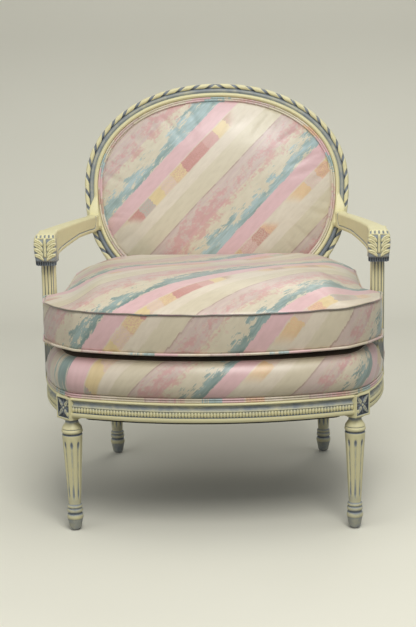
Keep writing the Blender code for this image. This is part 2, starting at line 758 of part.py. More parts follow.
def back_frame():
    """Crest, two stiles and bottom rail; returns cutters for what butts against the stiles."""
    slip = 0.6 * GAP / OVAL_UP
    half_turn = OVAL_STEPS // 2
    crest_end, bottom_end = half_turn - CREST_STEP, half_turn - BOTTOM_STEP
    for name, start, end in (("back_crest_rail", CREST_STEP, crest_end),
                             ("back_left_stile", crest_end, bottom_end),
                             ("back_bottom_rail", bottom_end, OVAL_STEPS + BOTTOM_STEP),
                             ("back_right_stile", BOTTOM_STEP, CREST_STEP)):
        add(name, oval_sweep(back_section(), start, end, slip), PAINT)
    grown = back_section(GAP)
    right = guide("back_right_cutter", oval_sweep(grown, BOTTOM_STEP - 1, CREST_STEP + 1))
    left = guide("back_left_cutter", oval_sweep(grown, crest_end - 1, bottom_end + 1))
    return {1: right, -1: left}


# Arms and posts

def post_centre():
    """Middle of the right arm post in plan: its outer face is flush with the rail."""
    out = side_point(side_at(POST_Y))
    return Vector((out.x - POST_SIDE / 2 - POST_SETBACK, POST_Y))


def post_ring(deep, z):
    """Square section with reeds on all four faces, in the post's own frame."""
    half = POST_SIDE / 2
    pitch = 2 * half / (REED_GROOVES + 1)
    ring = []
    for quarter in range(4):
        turn = Matrix.Rotation(quarter * math.pi / 2, 2)
        face = [Vector((-half, -half))]
        for groove in range(1, REED_GROOVES + 1):
            middle = -half + pitch * groove
            face += [Vector((middle - REED_HALF, -half)), Vector((middle, -half + deep)),
                     Vector((middle + REED_HALF, -half))]
        ring += [turn @ p for p in face]
    return [Vector((p.x, p.y, z)) for p in ring]


def post_place(side):
    centre = post_centre()
    return turned_about_z(side * centre.x, centre.y, 0, side * POST_TURN)


def arm_posts(rails):
    """Reeded posts on the side rails; returns cutters for what goes round them."""
    bottom = RAIL_TOP + GAP
    top = ARM_TOP - HANDHOLD_TALL - GAP
    reeds_from = RAIL_TOP + POST_FOOT
    cutters = {}
    for word, side in (("left", -1), ("right", 1)):
        place = post_place(side)
        rings = [post_ring(0, bottom), post_ring(0, reeds_from),
                 post_ring(REED_DEEP, reeds_from + REED_RUNOUT),
                 post_ring(REED_DEEP, top - REED_RUNOUT), post_ring(0, top)]
        bm = skin(rings)
        bmesh.ops.transform(bm, matrix=place, verts=bm.verts)
        post = add(f"{word}_arm_post", bm, PAINT)
        for end, z in (("lower", bottom), ("upper", top)):
            shapes = []
            for kind, grow in (("tenon", 0), ("mortise", GAP)):
                size = (POST_TENON + 2 * grow, POST_TENON + 2 * grow, 2 * (POST_TENON_LONG + grow))
                shapes.append(guide(f"{word}_post_{end}_{kind}",
                                    box(size, place @ Matrix.Translation((0, 0, z)))))
            combine(post, shapes[0], "UNION")
            cutters[end, side] = shapes[1]
        body = POST_SIDE + 2 * GAP
        tall = top - bottom + 2 * GAP
        notch = box((body, body, tall), place @ Matrix.Translation((0, 0, (top + bottom) / 2)))
        cutters["notch", side] = guide(f"{word}_post_notch", notch)
        open_place = place @ Matrix.Translation((side * OPEN_REACH / 2, 0, (top + bottom) / 2))
        cutters["open_notch", side] = guide(f"{word}_post_open_notch",
                                            box((body + OPEN_REACH, body, tall), open_place))
        cut(rails[side], cutters["notch", side], cutters["lower", side])
    return cutters


def arm_ring(top_x, low_x, wide, top, low, y_top, y_low):
    """Section of an arm: flat faces over a moulded lower edge."""
    half = wide / 2
    out = half + ARM_BEAD_OUT
    step = low + min(ARM_BEAD_TALL, (top - low) * 0.25)
    rows = [(-half + ARM_SOFT, top), (half - ARM_SOFT, top), (half, top - ARM_SOFT),
            (half, step + ARM_BEAD_OUT), (out, step), (out, low + ARM_SOFT), (half - ARM_SOFT, low),
            (-half + ARM_SOFT, low), (-out, low + ARM_SOFT), (-out, step), (-half, step + ARM_BEAD_OUT),
            (-half, top - ARM_SOFT)]
    ring = []
    for x, z in rows:
        share = (z - low) / (top - low)
        ring.append(Vector((low_x + (top_x - low_x) * share + x, y_low + (y_top - y_low) * share, z)))
    return ring


def frame_at(z, inset):
    """A point on the right of the back frame at this height, inset from its edge."""
    up = (z - OVAL_CENTRE_Z) / math.cos(BACK_RAKE)
    angle = math.asin(max(-1, -abs(up / OVAL_DOWN) ** (OVAL_POWER / 2)))
    return back_point(oval(angle, inset).x, up, -ARM_SEAT)


def arm_rings():
    """Right arm from the tip of the handhold to inside the back frame."""
    post = post_centre()
    y_front = post.y - POST_SIDE / 2 - HANDHOLD_FRONT
    y_hand = post.y + POST_SIDE / 2 + HANDHOLD_REAR
    low = ARM_TOP - HANDHOLD_TALL
    rear_top = ARM_TOP - ARM_DROP
    rear_low = rear_top - ARM_TALL
    inset = ARM_WIDE_REAR / 2 + ARM_SEAT
    end_high = frame_at(rear_top + ARM_FLARE, inset)
    end_low = frame_at(rear_low, inset)
    rings = []
    for ahead, share in ((0, 1.0), (0.3, 0.45), (1.0, 0.1)):
        y = y_front + ahead * HANDHOLD_ROUND
        sink = share * HANDHOLD_SINK
        rings.append(arm_ring(post.x, post.x, HANDHOLD_WIDE - sink / 2, ARM_TOP - sink * 0.7,
                              low + sink, y, y))
    for y in (y_front + 2 * HANDHOLD_ROUND, y_hand - ARM_SOFT):
        rings.append(arm_ring(post.x, post.x, HANDHOLD_WIDE, ARM_TOP, low, y, y))
    rings.append(arm_ring(post.x, post.x, HANDHOLD_WIDE, ARM_TOP, low + HANDHOLD_RISE, y_hand, y_hand))
    bar_from = y_hand + HANDHOLD_RISE
    bar_to = end_high.y - ARM_FLARE_LONG
    x_bar = end_high.x + ARM_BEND
    for i in range(5):
        share = i / 4
        y = bar_from + (bar_to - bar_from) * share
        top = ARM_TOP - ARM_DROP * share
        wide = ARM_WIDE_FRONT + (ARM_WIDE_REAR - ARM_WIDE_FRONT) * share
        x = post.x + (x_bar - post.x) * share**1.3
        rings.append(arm_ring(x, x, wide, top, top - ARM_TALL, y, y))
    for share, rise in ((0.55, 0.18), (1.0, 1.0)):
        x_top = x_bar + (end_high.x - x_bar) * share
        x_low = x_bar + (end_low.x - x_bar) * share
        y_top = bar_to + (end_high.y - bar_to) * share
        y_low = bar_to + (end_low.y - bar_to) * share
        rings.append(arm_ring(x_top, x_low, ARM_WIDE_REAR, rear_top + ARM_FLARE * rise,
                              rear_low, y_top, y_low))
    return rings


def arms(frame_cutters, post_cutters):
    for word, side in (("left", -1), ("right", 1)):
        rings = [[Vector((side * p.x, p.y, p.z)) for p in ring] for ring in arm_rings()]
        arm = add(f"{word}_arm", skin(rings), PAINT)
        cut(arm, frame_cutters[side], post_cutters["upper", side])


# Back upholstery

def back_straps():
    """Webbing behind the back pad: uprights on the ledge, then two across in front of them."""
    level_1 = LEDGE_FRONT + GAP
    level_2 = level_1 + STRAP_THICK + GAP
    ledge_middle = BACK_FACE + LEDGE_WIDE * 0.4
    half = BACK_STRAP_WIDE / 2

    turns = [2 * math.pi * i / 720 for i in range(720)]
    ledge = [oval(turn, ledge_middle) for turn in turns]

    def reach(distance, axis, sign):
        """How far the ledge's middle lies along the other axis at this distance."""
        near = sorted((p[axis], p[1 - axis]) for p in ledge if p[1 - axis] * sign > 0)
        after = next(i for i, p in enumerate(near) if p[0] >= distance)
        (at_1, reach_1), (at_2, reach_2) = near[after - 1], near[after]
        return reach_1 + (reach_2 - reach_1) * (distance - at_1) / (at_2 - at_1)

    def strap(name, corners, low):
        rings = [[back_point(a, u, w) for a, u in corners] for w in (low, low + STRAP_THICK)]
        add(name, skin(rings), JUTE)

    for i, middle in enumerate((-BACK_STRAP_PITCH, 0, BACK_STRAP_PITCH)):
        edges = (middle - half, middle + half)
        top = [reach(x, 0, 1) for x in edges]
        low = [reach(x, 0, -1) for x in edges]
        strap(f"back_upright_strap_{i + 1}", [(edges[0], low[0]), (edges[1], low[1]),
                                              (edges[1], top[1]), (edges[0], top[0])], level_1)
    for i, middle in enumerate((-BACK_CROSS_PITCH / 2, BACK_CROSS_PITCH / 2)):
        edges = (middle - half, middle + half)
        right = [reach(up, 1, 1) for up in edges]
        left = [reach(up, 1, -1) for up in edges]
        strap(f"back_cross_strap_{i + 1}", [(left[0], edges[0]), (right[0], edges[0]),
                                            (right[1], edges[1]), (left[1], edges[1])], level_2)
    return level_2 + STRAP_THICK + GAP


def double_cord(inner, low, way):
    """Section of two cords side by side, from an inset and a base level; way is up or down."""
    r = DOUBLE_CORD
    rows = [(0.3, 0.1), (0.6, 1.7), (2.0, 1.1), (3.4, 1.7), (3.7, 0.1)]
    return [(inner + r * across, low + way * r * height) for across, height in rows]


def back_upholstery():
    rear = back_straps()
    edge = BACK_FACE + GAP
    welt_wide = 4 * DOUBLE_CORD + 2 * GAP
    lip = max(BACK_HALF - PAD_SUNK, rear + PAD_EDGE)
    rings = [[back_point(0, 0, rear)], oval_ring(edge, rear), oval_ring(edge, lip),
             oval_ring(edge + welt_wide, lip)]
    for further, share in ((0.012, 0.36), (0.045, 0.74), (0.100, 0.94)):
        rings.append(oval_ring(edge + welt_wide + further, lip + PAD_CROWN * share))
    rings.append([back_point(0, 0, lip + PAD_CROWN)])
    add("back_pad", skin(rings), FABRIC, smooth=True)

    section = double_cord(edge, lip + GAP, 1)
    add("back_front_welt", oval_loop(section), FABRIC, smooth=True)

    panel_front = LEDGE_REAR - GAP
    panel_back = panel_front - PANEL_THICK
    rings = [[back_point(0, 0, panel_front)], oval_ring(edge, panel_front), oval_ring(edge, panel_back),
             oval_ring(edge + welt_wide, panel_back),
             oval_ring(edge + welt_wide + 0.06, panel_back - PANEL_CROWN * 0.8),
             [back_point(0, 0, panel_back - PANEL_CROWN)]]
    add("back_outer_panel", skin(rings), FABRIC, smooth=True)
    add("back_rear_welt", oval_loop(double_cord(edge, panel_back - GAP, -1)), FABRIC, smooth=True)


def oval_loop(section):
    rings = []
    for i in range(OVAL_STEPS):
        angle = 2 * math.pi * i / OVAL_STEPS
        ring = []
        for inset, forward in section:
            p = oval(angle, inset)
            ring.append(back_point(p.x, p.y, forward))
        rings.append(ring)
    return skin(rings, closed=True)


# Seat upholstery

def seat_straps():
    """Webbing under the seat frame; returns the level that the springs stand on."""
    top_1 = RAIL_BOTTOM - GAP
    top_2 = top_1 - STRAP_THICK - GAP
    half = SEAT_STRAP_WIDE / 2
    for i in range(3):
        middle = SEAT_STRAP_PITCH * (i - 1)
        edge_x = abs(middle) + half
        front_y = front_point(math.asin(edge_x / BOW_RADIUS)).y + SEAT_STRAP_INSET
        rear_y = REAR_BLOCK_Y + RAIL_THICK / 2 - SEAT_STRAP_INSET
        place = Matrix.Translation((middle, (front_y + rear_y) / 2, top_1 - STRAP_THICK / 2))
        add(f"seat_long_strap_{i + 1}", box((SEAT_STRAP_WIDE, rear_y - front_y, STRAP_THICK), place), JUTE)
        y = SEAT_STRAP_MIDDLE + SEAT_STRAP_PITCH * (i - 1)
        reach = min(side_point(side_at(y - half)).x, side_point(side_at(y + half)).x) - SEAT_STRAP_INSET
        place = Matrix.Translation((0, y, top_2 - STRAP_THICK / 2))
        add(f"seat_cross_strap_{i + 1}", box((2 * reach, SEAT_STRAP_WIDE, STRAP_THICK), place), JUTE)
    return top_1, top_2 - STRAP_THICK


def dust_cover(under, cutters):
    loop = offset(seat_loop(), -SEAT_STRAP_INSET, closed=True)
    top = under - GAP
    cover = add("dust_cover", skin([level(loop, top - DUST_THICK), level(loop, top)]), DUST)
    cut(cover, *cutters.values())


def springs(bottom, top):
    """Coil springs at the crossings of the webbing, narrower at the waist."""
    steps = SPRING_TURNS * SPRING_STEPS
    low, high = bottom + GAP + SPRING_WIRE, top - GAP - SPRING_WIRE
    places = [(0, SEAT_STRAP_MIDDLE)]
    places += [(sx * SEAT_STRAP_PITCH, SEAT_STRAP_MIDDLE + sy * SEAT_STRAP_PITCH)
               for sx in (-1, 1) for sy in (-1, 1)]
    points = []
    for i in range(steps + 1):
        share = i / steps
        radius = SPRING_WAIST + (SPRING_RADIUS - SPRING_WAIST) * (2 * share - 1) ** 2
        angle = 2 * math.pi * i / SPRING_STEPS
        points.append(Vector((radius * math.cos(angle), radius * math.sin(angle),
                              low + (high - low) * share)))
    apart = min((points[i] - points[j]).length for i in range(steps + 1)
                for j in range(i + SPRING_STEPS // 2, steps + 1))
    print(f"least gap of a spring to itself: {(apart - 2 * SPRING_WIRE) * 1000:.2f} mm")
    for number, (x, y) in enumerate(places, 1):
        curve = bpy.data.curves.new(f"seat_spring_{number}", "CURVE")
        curve.dimensions = "3D"
        spline = curve.splines.new("POLY")
        spline.points.add(steps)
        for target, point in zip(spline.points, points):
            target.co = (point.x + x, point.y + y, point.z, 1)
        curve.bevel_depth = SPRING_WIRE
        curve.bevel_resolution = 1
        curve.use_fill_caps = True
        curve.materials.append(STEEL)
        obj = bpy.data.objects.new(f"seat_spring_{number}", curve)
        bpy.context.collection.objects.link(obj)
        obj.parent = ROOT


def rear_corner_cutters():
    """Room for the rear blocks and stiles, open to the outside."""
    wide = REAR_BLOCK + 2 * GAP + OPEN_REACH
    tall = 4 * DECK_TALL
    shift = OPEN_REACH / 2
    cutters = []
    for word, side in (("left", -1), ("right", 1)):
        place = Matrix.Translation((side * (REAR_LEG_HALF + shift), REAR_BLOCK_Y + shift, TONGUE_TOP))
        cutters.append(guide(f"rear_{word}_deck_cutter", box((wide, wide, tall), place)))
    return cutters


def seat_deck(post_cutters):
    """Padded deck over the springs, open below; returns the underside of its padding."""
    loop = seat_loop()
    centre = Vector((0, SEAT_STRAP_MIDDLE))
    skirt = RAIL_TOP + GAP + WELT_TALL + GAP
    ledge = TONGUE_TOP + GAP
    inner = -TONGUE_SETBACK + GAP
    under = DECK_TOP - DECK_PAD + DECK_CROWN

    def ring(out, z):
        return level(offset(loop, out, closed=True), z)

    def shrunk(share, out, z):
        return level([centre + (p - centre) * share for p in offset(loop, out, closed=True)], z)

    hollow = 1 - DECK_WALL / SIDE_START.x
    rings = [[Vector((*centre, under))], shrunk(hollow - 0.05, 0, under), shrunk(hollow, 0, ledge),
             ring(inner, ledge), ring(inner, skirt), ring(-DECK_BULGE / 2, skirt),
             ring(DECK_BULGE, skirt + (DECK_TOP - skirt) * 0.35),
             ring(DECK_BULGE * 0.4, DECK_TOP - DECK_ROLL * 0.9),
             ring(-DECK_ROLL * 0.35, DECK_TOP - DECK_ROLL * 0.25), ring(-DECK_ROLL, DECK_TOP),
             shrunk(0.55, -DECK_ROLL, DECK_TOP + DECK_CROWN * 0.75),
             [Vector((*centre, DECK_TOP + DECK_CROWN))]]
    deck = add("seat_deck", skin(rings), PLATFORM, smooth=True)
    cut(deck, post_cutters["open_notch", -1], post_cutters["open_notch", 1], *rear_corner_cutters())
    return under


def seat_welts():
    """Double welt along the rails: front run between the posts, two side runs, rear run."""
    r = DOUBLE_CORD
    base = RAIL_TOP + GAP
    back = -TONGUE_SETBACK + GAP
    section = [(back, base), (-2 * r, base), (-r, base + 0.6 * r), (-0.6 * r, base + 1.2 * r),
               (-1.8 * r, base + 2 * r), (-0.6 * r, base + 2.8 * r), (-1.2 * r, base + 3.8 * r),
               (-2.4 * r, base + 4 * r), (back, base + 4 * r)]
    post_half = POST_SIDE / 2 + POST_SIDE * math.sin(POST_TURN) / 2
    before = side_at(POST_Y - post_half - WELT_CLEAR)
    after = side_at(POST_Y + post_half + WELT_CLEAR)
    ahead = side_line(0, before)
    line = mirrored(ahead) + front_line() + ahead
    add("seat_front_welt", sweep(line, section), FABRIC, smooth=True)
    last = side_at(REAR_BLOCK_Y - REAR_BLOCK / 2 - BURY)
    side = side_line(after, last)
    add("seat_right_welt", sweep(side, section), FABRIC, smooth=True)
    add("seat_left_welt", sweep(mirrored(side), section), FABRIC, smooth=True)
    add("seat_rear_welt", sweep(rear_line(-GAP), section), FABRIC, smooth=True)


# Loose cushion

def rounded(points, radius, steps=2):
    """A plan line with its inner corners rounded."""
    result = [points[0]]
    for before, corner, after in zip(points, points[1:], points[2:]):
        leg_in = (before - corner)
        leg_out = (after - corner)
        reach = min(radius, leg_in.length * 0.45, leg_out.length * 0.45)
        start = corner + leg_in.normalized() * reach
        end = corner + leg_out.normalized() * reach
        for i in range(steps + 1):
            t = i / steps
            result.append(start * (1 - t) ** 2 + corner * (2 * t * (1 - t)) + end * t * t)
    result.append(points[-1])
    return result


def cushion_ear(last_y):
    """The side of an ear: flush with the front's overhang, fullest halfway, on the rail at its end."""
    rail = side_line(0, side_at(last_y))
    ear = []
    for i, (point, out) in enumerate(zip(rail, normals(rail))):
        share = i / (len(rail) - 1)
        past = CUSHION_OVERHANG * (1 - share) + CUSHION_EAR * 4 * share * (1 - share)
        ear.append(point + out * past)
    return ear


def cushion_outline():
    """Closed T-shaped outline of the welts: ears ahead of the posts, a narrower part between them."""
    post = post_centre()
    post_front = post.y - POST_SIDE / 2 - CUSHION_CLEAR
    post_back = post.y + POST_SIDE / 2 + CUSHION_CLEAR
    notch_x = post.x - POST_SIDE / 2 - CUSHION_CLEAR
    front = offset(front_line(), CUSHION_OVERHANG)[FRONT_STEPS // 2:FRONT_STEPS]
    ear = cushion_ear(post_front - CUSHION_CLEAR)
    hand_x = post.x - HANDHOLD_WIDE / 2 - ARM_BEAD_OUT - CUSHION_WELT - CUSHION_SLACK
    rail = side_line(side_at(post_back), side_at(CUSHION_REAR - CUSHION_CORNER))
    side = [Vector((min(p.x, hand_x), p.y)) for p in offset(rail, -CUSHION_SIDE_INSET)]
    turn_in = rounded([ear[-2], ear[-1], Vector((notch_x, post_front)), *side[:2]], 2 * CUSHION_CLEAR)
    corner = Vector((side[-1].x - CUSHION_CORNER * 0.4, CUSHION_REAR))
    rear = rounded([side[-1], corner, Vector((0, CUSHION_REAR))], CUSHION_CORNER, 3)[1:]
    between = [rear[-2].lerp(rear[-1], share) for share in (0.33, 0.66)]
    half = front + ear[:-2] + turn_in[:-1] + side[1:] + rear[:-1] + between + [rear[-1]]
    return half + [Vector((-p.x, p.y)) for p in reversed(half[1:-1])]


def loose_cushion():
    outline = cushion_outline()
    outward = normals(outline, closed=True)
    centre = Vector((0, CUSHION_MIDDLE))
    bottom = DECK_TOP + DECK_CROWN + GAP
    low_welt = bottom + CUSHION_BELLY
    high_welt = low_welt + CUSHION_BOX
    body = offset(outline, -(CUSHION_WELT + 2.5 * GAP), closed=True)
    widest = max(abs(p.x) for p in outline)

    def rise(p):
        return WELT_RISE * (p.x / widest) ** 2

    def ring(share, z, outwards=0.0, lift=1.0):
        points = offset(body, outwards, closed=True)
        return [Vector((*(centre + (p - centre) * share), z + lift * rise(o)))
                for p, o in zip(points, outline)]

    rings = [[Vector((*centre, bottom))], ring(0.80, bottom, lift=0.0), ring(1.0, low_welt),
             ring(1.0, (low_welt + high_welt) / 2, CUSHION_BULGE), ring(1.0, high_welt)]
    for share, crown in ((0.93, 0.27), (0.82, 0.56), (0.62, 0.83), (0.34, 0.96)):
        rings.append(ring(share, high_welt + CUSHION_CROWN * crown, lift=1 - crown))
    rings.append([Vector((*centre, high_welt + CUSHION_CROWN))])
    add("seat_cushion", skin(rings), FABRIC, smooth=True)
    for name, z in (("cushion_lower_welt", low_welt), ("cushion_upper_welt", high_welt)):
        tube = []
        for point, out in zip(outline, outward):
            cord = []
            for k in range(WELT_SIDES):
                angle = 2 * math.pi * k / WELT_SIDES
                p = point + out * (CUSHION_WELT * math.cos(angle))
                cord.append(Vector((p.x, p.y, z + rise(point) + CUSHION_WELT * math.sin(angle))))
            tube.append(cord)
        add(name, skin(tube, closed=True), FABRIC, smooth=True)


def centre_on_floor():
    """Move the root so that the chair's box stands centred on the origin."""
    bpy.context.view_layer.update()
    graph = bpy.context.evaluated_depsgraph_get()
    depths = []
    for obj in ROOT.children:
        if not obj.hide_render:
            shown = obj.evaluated_get(graph)
            mesh = shown.to_mesh()
            depths += [(shown.matrix_world @ vertex.co).y for vertex in mesh.vertices]
            shown.to_mesh_clear()
    ROOT.location.y = -(min(depths) + max(depths)) / 2
    print(f"front leg axis at y = {ROOT.location.y:.6f}")


def build():
    cutters = block_cutters()
    rails, mortises = seat_rails(cutters)
    frame_cutters = back_frame()
    front_legs(mortises)
    rear_legs(mortises, frame_cutters)
    corner_braces()
    post_cutters = arm_posts(rails)
    arms(frame_cutters, post_cutters)
    back_upholstery()
    strap_top, strap_under = seat_straps()
    dust_cover(strap_under, cutters)
    under = seat_deck(post_cutters)
    springs(strap_top, under)
    seat_welts()
    loose_cushion()
    centre_on_floor()


build()
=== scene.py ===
import math

import bmesh
import bpy
import numpy as np
from mathutils import Matrix, Vector


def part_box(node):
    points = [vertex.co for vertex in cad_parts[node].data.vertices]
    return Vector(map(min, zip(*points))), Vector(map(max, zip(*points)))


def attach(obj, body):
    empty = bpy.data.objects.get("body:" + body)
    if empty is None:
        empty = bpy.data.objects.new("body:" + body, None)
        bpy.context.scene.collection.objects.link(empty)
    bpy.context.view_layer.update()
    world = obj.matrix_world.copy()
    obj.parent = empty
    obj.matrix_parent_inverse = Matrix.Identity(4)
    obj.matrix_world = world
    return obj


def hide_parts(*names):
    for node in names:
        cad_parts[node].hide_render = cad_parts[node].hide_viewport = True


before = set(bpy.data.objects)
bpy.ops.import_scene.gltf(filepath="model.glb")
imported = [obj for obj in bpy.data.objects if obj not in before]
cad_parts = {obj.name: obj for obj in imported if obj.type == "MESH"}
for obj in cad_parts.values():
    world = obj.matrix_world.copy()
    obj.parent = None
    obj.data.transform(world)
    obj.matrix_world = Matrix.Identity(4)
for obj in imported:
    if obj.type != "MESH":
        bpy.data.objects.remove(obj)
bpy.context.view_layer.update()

# Sizes of the chair in metres, as in its source: x to the right, y back from the front legs' line,
# z up from the floor. LEG_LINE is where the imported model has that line.
LEG_LINE = (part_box("front_left_glide")[0].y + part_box("front_left_glide")[1].y) / 2

# Seat frame in plan
FRONT_LEG_HALF = 0.281
REAR_LEG_HALF = 0.241
REAR_BLOCK_Y = 0.503
REAR_FOOT_Y = 0.522
BLOCK_TURN = math.radians(45)
FRONT_BLOCK = 0.042
REAR_BLOCK = 0.038
FRONT_SETBACK = 0.004
SIDE_SETBACK = 0.008
FRONT_BOW = 0.052
REAR_BOW = 0.008
SIDE_START_HEADING = math.radians(60)
SIDE_START_PULL = 0.100
SIDE_END_HEADING = math.radians(124)
SIDE_END_PULL = 0.262
SEAT_MIDDLE = np.array((0.0, 0.240))

# Rails
RAIL_BOTTOM = 0.242
RAIL_THICK = 0.028
FILLET_TALL = 0.0088
PEARL_TALL = 0.0132
COVE_TALL = 0.0110
BEAD_TALL = 0.0065
RAIL_TOP = RAIL_BOTTOM + FILLET_TALL + PEARL_TALL + COVE_TALL + BEAD_TALL
TONGUE_TOP = RAIL_TOP + 0.0185
TONGUE_SETBACK = 0.008
PEARL_MIDDLE = RAIL_BOTTOM + FILLET_TALL + PEARL_TALL * 0.48
PEARL_INSET = 0.0028
PEARL_SIZES = {"Pitch": 0.0062, "Wide": 0.0060, "Tall": 0.0112, "Deep": 0.0056, "Tone": 0.30}

# Legs
GLIDE_TALL = 0.0025
GLIDE_RADIUS = 0.008
SHANK_RADIUS = 0.0016
SHANK_LONG = 0.012
FLUTE_COUNT = 8
FLUTE_DEEP = 0.0026
FLUTE_SHARE = 0.23           # half a flute's width as a share of its pitch
TAPER_FOOT = 0.0560
TAPER_TOP = 0.1995
TAPER_TOP_RADIUS = 0.0203
LEG_TOP = 0.235
BLOCK_TALL = RAIL_TOP - LEG_TOP
PANEL_FRAME = 0.0033
PANEL_DEEP = 0.0034
LEAF_HIGH = 0.0032
BOSS_RADIUS = 0.0036
STILE_WIDE = 0.030
STILE_DEEP = 0.026

# Arms and posts
POST_Y = 0.145
POST_SIDE = 0.026
POST_TURN = math.radians(4)
REEDS = 4
REED_DEEP = 0.0028
POST_LEAF_DEEP = 0.0020
POST_FOOT = 0.064
ARM_TOP = 0.585
ARM_DROP = 0.022
ARM_TALL = 0.039
ARM_DEEPER = 0.012           # more than that at the handhold
ARM_DEEPER_LONG = 0.17
ARM_SOFT = 0.004
ARM_CROWN = 0.0012
ARM_BEND = 0.010             # the bar stands this much wider than its end on the frame
ARM_WIDE_FRONT = 0.034
ARM_WIDE_REAR = 0.023
ARM_BEAD_TALL = 0.009
ARM_BEAD_OUT = 0.0013
ARM_LINE_TURN = 0.016        # radius at which the sunk line turns up before the frame
HANDHOLD_WIDE = 0.043
HANDHOLD_TALL = 0.064
HANDHOLD_FRONT = POST_Y - POST_SIDE / 2 - 0.034
HANDHOLD_REAR = POST_Y + POST_SIDE / 2 + 0.010
HANDHOLD_LOW = ARM_TOP - HANDHOLD_TALL
HANDHOLD_EASE = 0.0045
NOSE_RADIUS = 0.016
CHIN_RADIUS = 0.006
CAP_TALL = 0.014
CAP_SETBACK = 0.011
CAP_REEDS = 4.5
HANDHOLD_LEAF_HIGH = 0.0032
HANDHOLD_LEAF_SUNK = 0.0018

# Back
BACK_RAKE = math.radians(11)
OVAL_HALF_WIDE = 0.302
OVAL_CENTRE_Z = 0.620
OVAL_UP = 0.232
OVAL_DOWN = 0.265
OVAL_POWER = 2.35            # squareness of the lower half, then of the upper
OVAL_POWER_UP = 2.12
BACK_HALF = 0.016
ROPE_WIDE = 0.010
ROPE_RADIUS = 0.0051
ROPE_SUNK = 0.0053           # the rope's axis behind the frame's front
TWIST_LONG = 0.035           # one turn of the rope moulding's strand
BACK_COVE_WIDE = 0.0106
BACK_BEAD_WIDE = 0.0089
BACK_FACE = ROPE_WIDE + BACK_COVE_WIDE + BACK_BEAD_WIDE
LEDGE_WIDE = 0.012
LEDGE_FRONT = 0.0016
LEDGE_REAR = -0.0104
BACK_AHEAD = 0.005
BACK_ORIGIN = (0, REAR_BLOCK_Y + (OVAL_CENTRE_Z - LEG_TOP) * math.tan(BACK_RAKE) - BACK_AHEAD, OVAL_CENTRE_Z)
OVAL_STEP = 2 * math.pi / 40
PAD_LIP = 0.007
PAD_CROWN = 0.027
PAD_HALF = 0.23              # about half a pad's width, and the distance over which its edge rises
PAD_EDGE_REACH = 0.035
PAD_VOXEL = 0.0062
PAD_CAP = 0.010              # most that a point of the pad moves when it is blown up
PANEL_BACK = LEDGE_REAR - 0.0043
PANEL_CROWN = 0.008

# Welts: radii of the cords, and how far apart a pair's cords lie, in radii from the edge
SEAT_CORD = 0.0021
SEAT_LANES = (1.05, 3.30)
SEAT_CORD_INSET = 0.0024
BACK_CORD = 0.0023
BACK_LANES = (1.05, 3.05)
BACK_WELT_WIDE = 4.1 * BACK_CORD
LOWER_WELT = 0.0027
UPPER_WELT = 0.0016
WELT_RISE = 0.002            # how much higher the cushion's welts run at its sides

# Deck
OUTLINE_STEP = 0.004         # between points of the deck's and the cushion's outlines
DECK_SKIRT = RAIL_TOP + 0.0092
DECK_TOP = RAIL_TOP + 0.084
DECK_CROWN = 0.009
DECK_BULGE = 0.004
DECK_FRONT_BULGE = 0.0065    # more than that at the front
DECK_ROLL = 0.030
DECK_RIM = 0.004             # rolled rim below the edge of the flat top
DECK_SLOPE_LONG = 0.28       # cloth from the rim to the middle
UPRIGHT_STRETCH = (-0.14, -0.30, -0.44, -0.60)   # along the deck's edge, left of its front's middle
DECK_LEVEL = 0.077           # cloth length up from its lower edge at which an upright stripe keeps its place
POST_DENT = POST_SIDE + 0.006
STILE_DENT = 0.040

# Loose cushion
CUSHION_BOTTOM = DECK_TOP + DECK_CROWN + 0.0003
CUSHION_LOW = CUSHION_BOTTOM + 0.004
CUSHION_HIGH = CUSHION_LOW + 0.077
CUSHION_CROWN = 0.04968
CUSHION_MIDDLE = np.array((0.0, 0.200))
CROWN_FRONT = 0.052          # most the crown may rise above the upper welt, front and rear
CROWN_REAR = 0.033
CROWN_EASE = 0.004
CROWN_START = 0.002          # height over the upper welt at which it begins to be sat in
EAR_FLAT = 0.70              # share of the crown pressed out of the ears
CUSHION_OVERHANG = 0.005
BOXING_BULGE = 0.0030
EAR_BEND = (0.308, 0.003)    # front corner of an ear in plan, then its outermost corner
EAR_CORNER = (0.337, 0.046)
CUSHION_REAR = 0.492
CUSHION_CORNER = 0.055
CUSHION_CLEAR = 0.008
CUSHION_IN_RAIL = 0.022      # the cushion's sides inside the rails' outer faces
CUSHION_VOXEL = 0.0068
CUSHION_CAP = 0.012
SEAM_REACH = 0.0055          # points this near to a seam are held by it
WELT_TUCK = 0.0016           # how much further in the cushion's welts run behind the arm posts
BLOWN_FRAMES = 20            # frames for which a pad is blown up as cloth

STRIPE_STEP = 0.322          # along a level line, from one repeat of the stripes to the next
STRIPE_PLACES = {"back": (46, 0.010), "boxing": (52, 0.285), "top": (39, 0.098),
                 "deck": (46, 0.575)}   # slant in degrees, and start in repeats

# The photo's camera: place, yaw, pitch and roll in degrees, focal length as a share of the picture's height
CAMERA_PLACE = (0.092, -2.907, 1.062)
CAMERA_TURNS = (-1.93, 12.03, -1.07)
CAMERA_FOCAL = 1522 / 627
CAMERA_SENSOR = 36


# Colours and finishes

def shade(red, green, blue):
    """A paint or dye colour given in 0 to 255, as Blender's linear colour."""
    parts = [c / 255 for c in (red, green, blue)]
    return tuple(c / 12.92 if c <= 0.04045 else ((c + 0.055) / 1.055) ** 2.4 for c in parts) + (1.0,)


CREAM = shade(243, 237, 190)
CREAM_DEEP = shade(231, 222, 169)
GREY_WASH = shade(186, 188, 174)
SLATE = shade(138, 147, 154)
SLATE_DARK = shade(66, 72, 82)
WEAR_BROWN = shade(160, 138, 98)

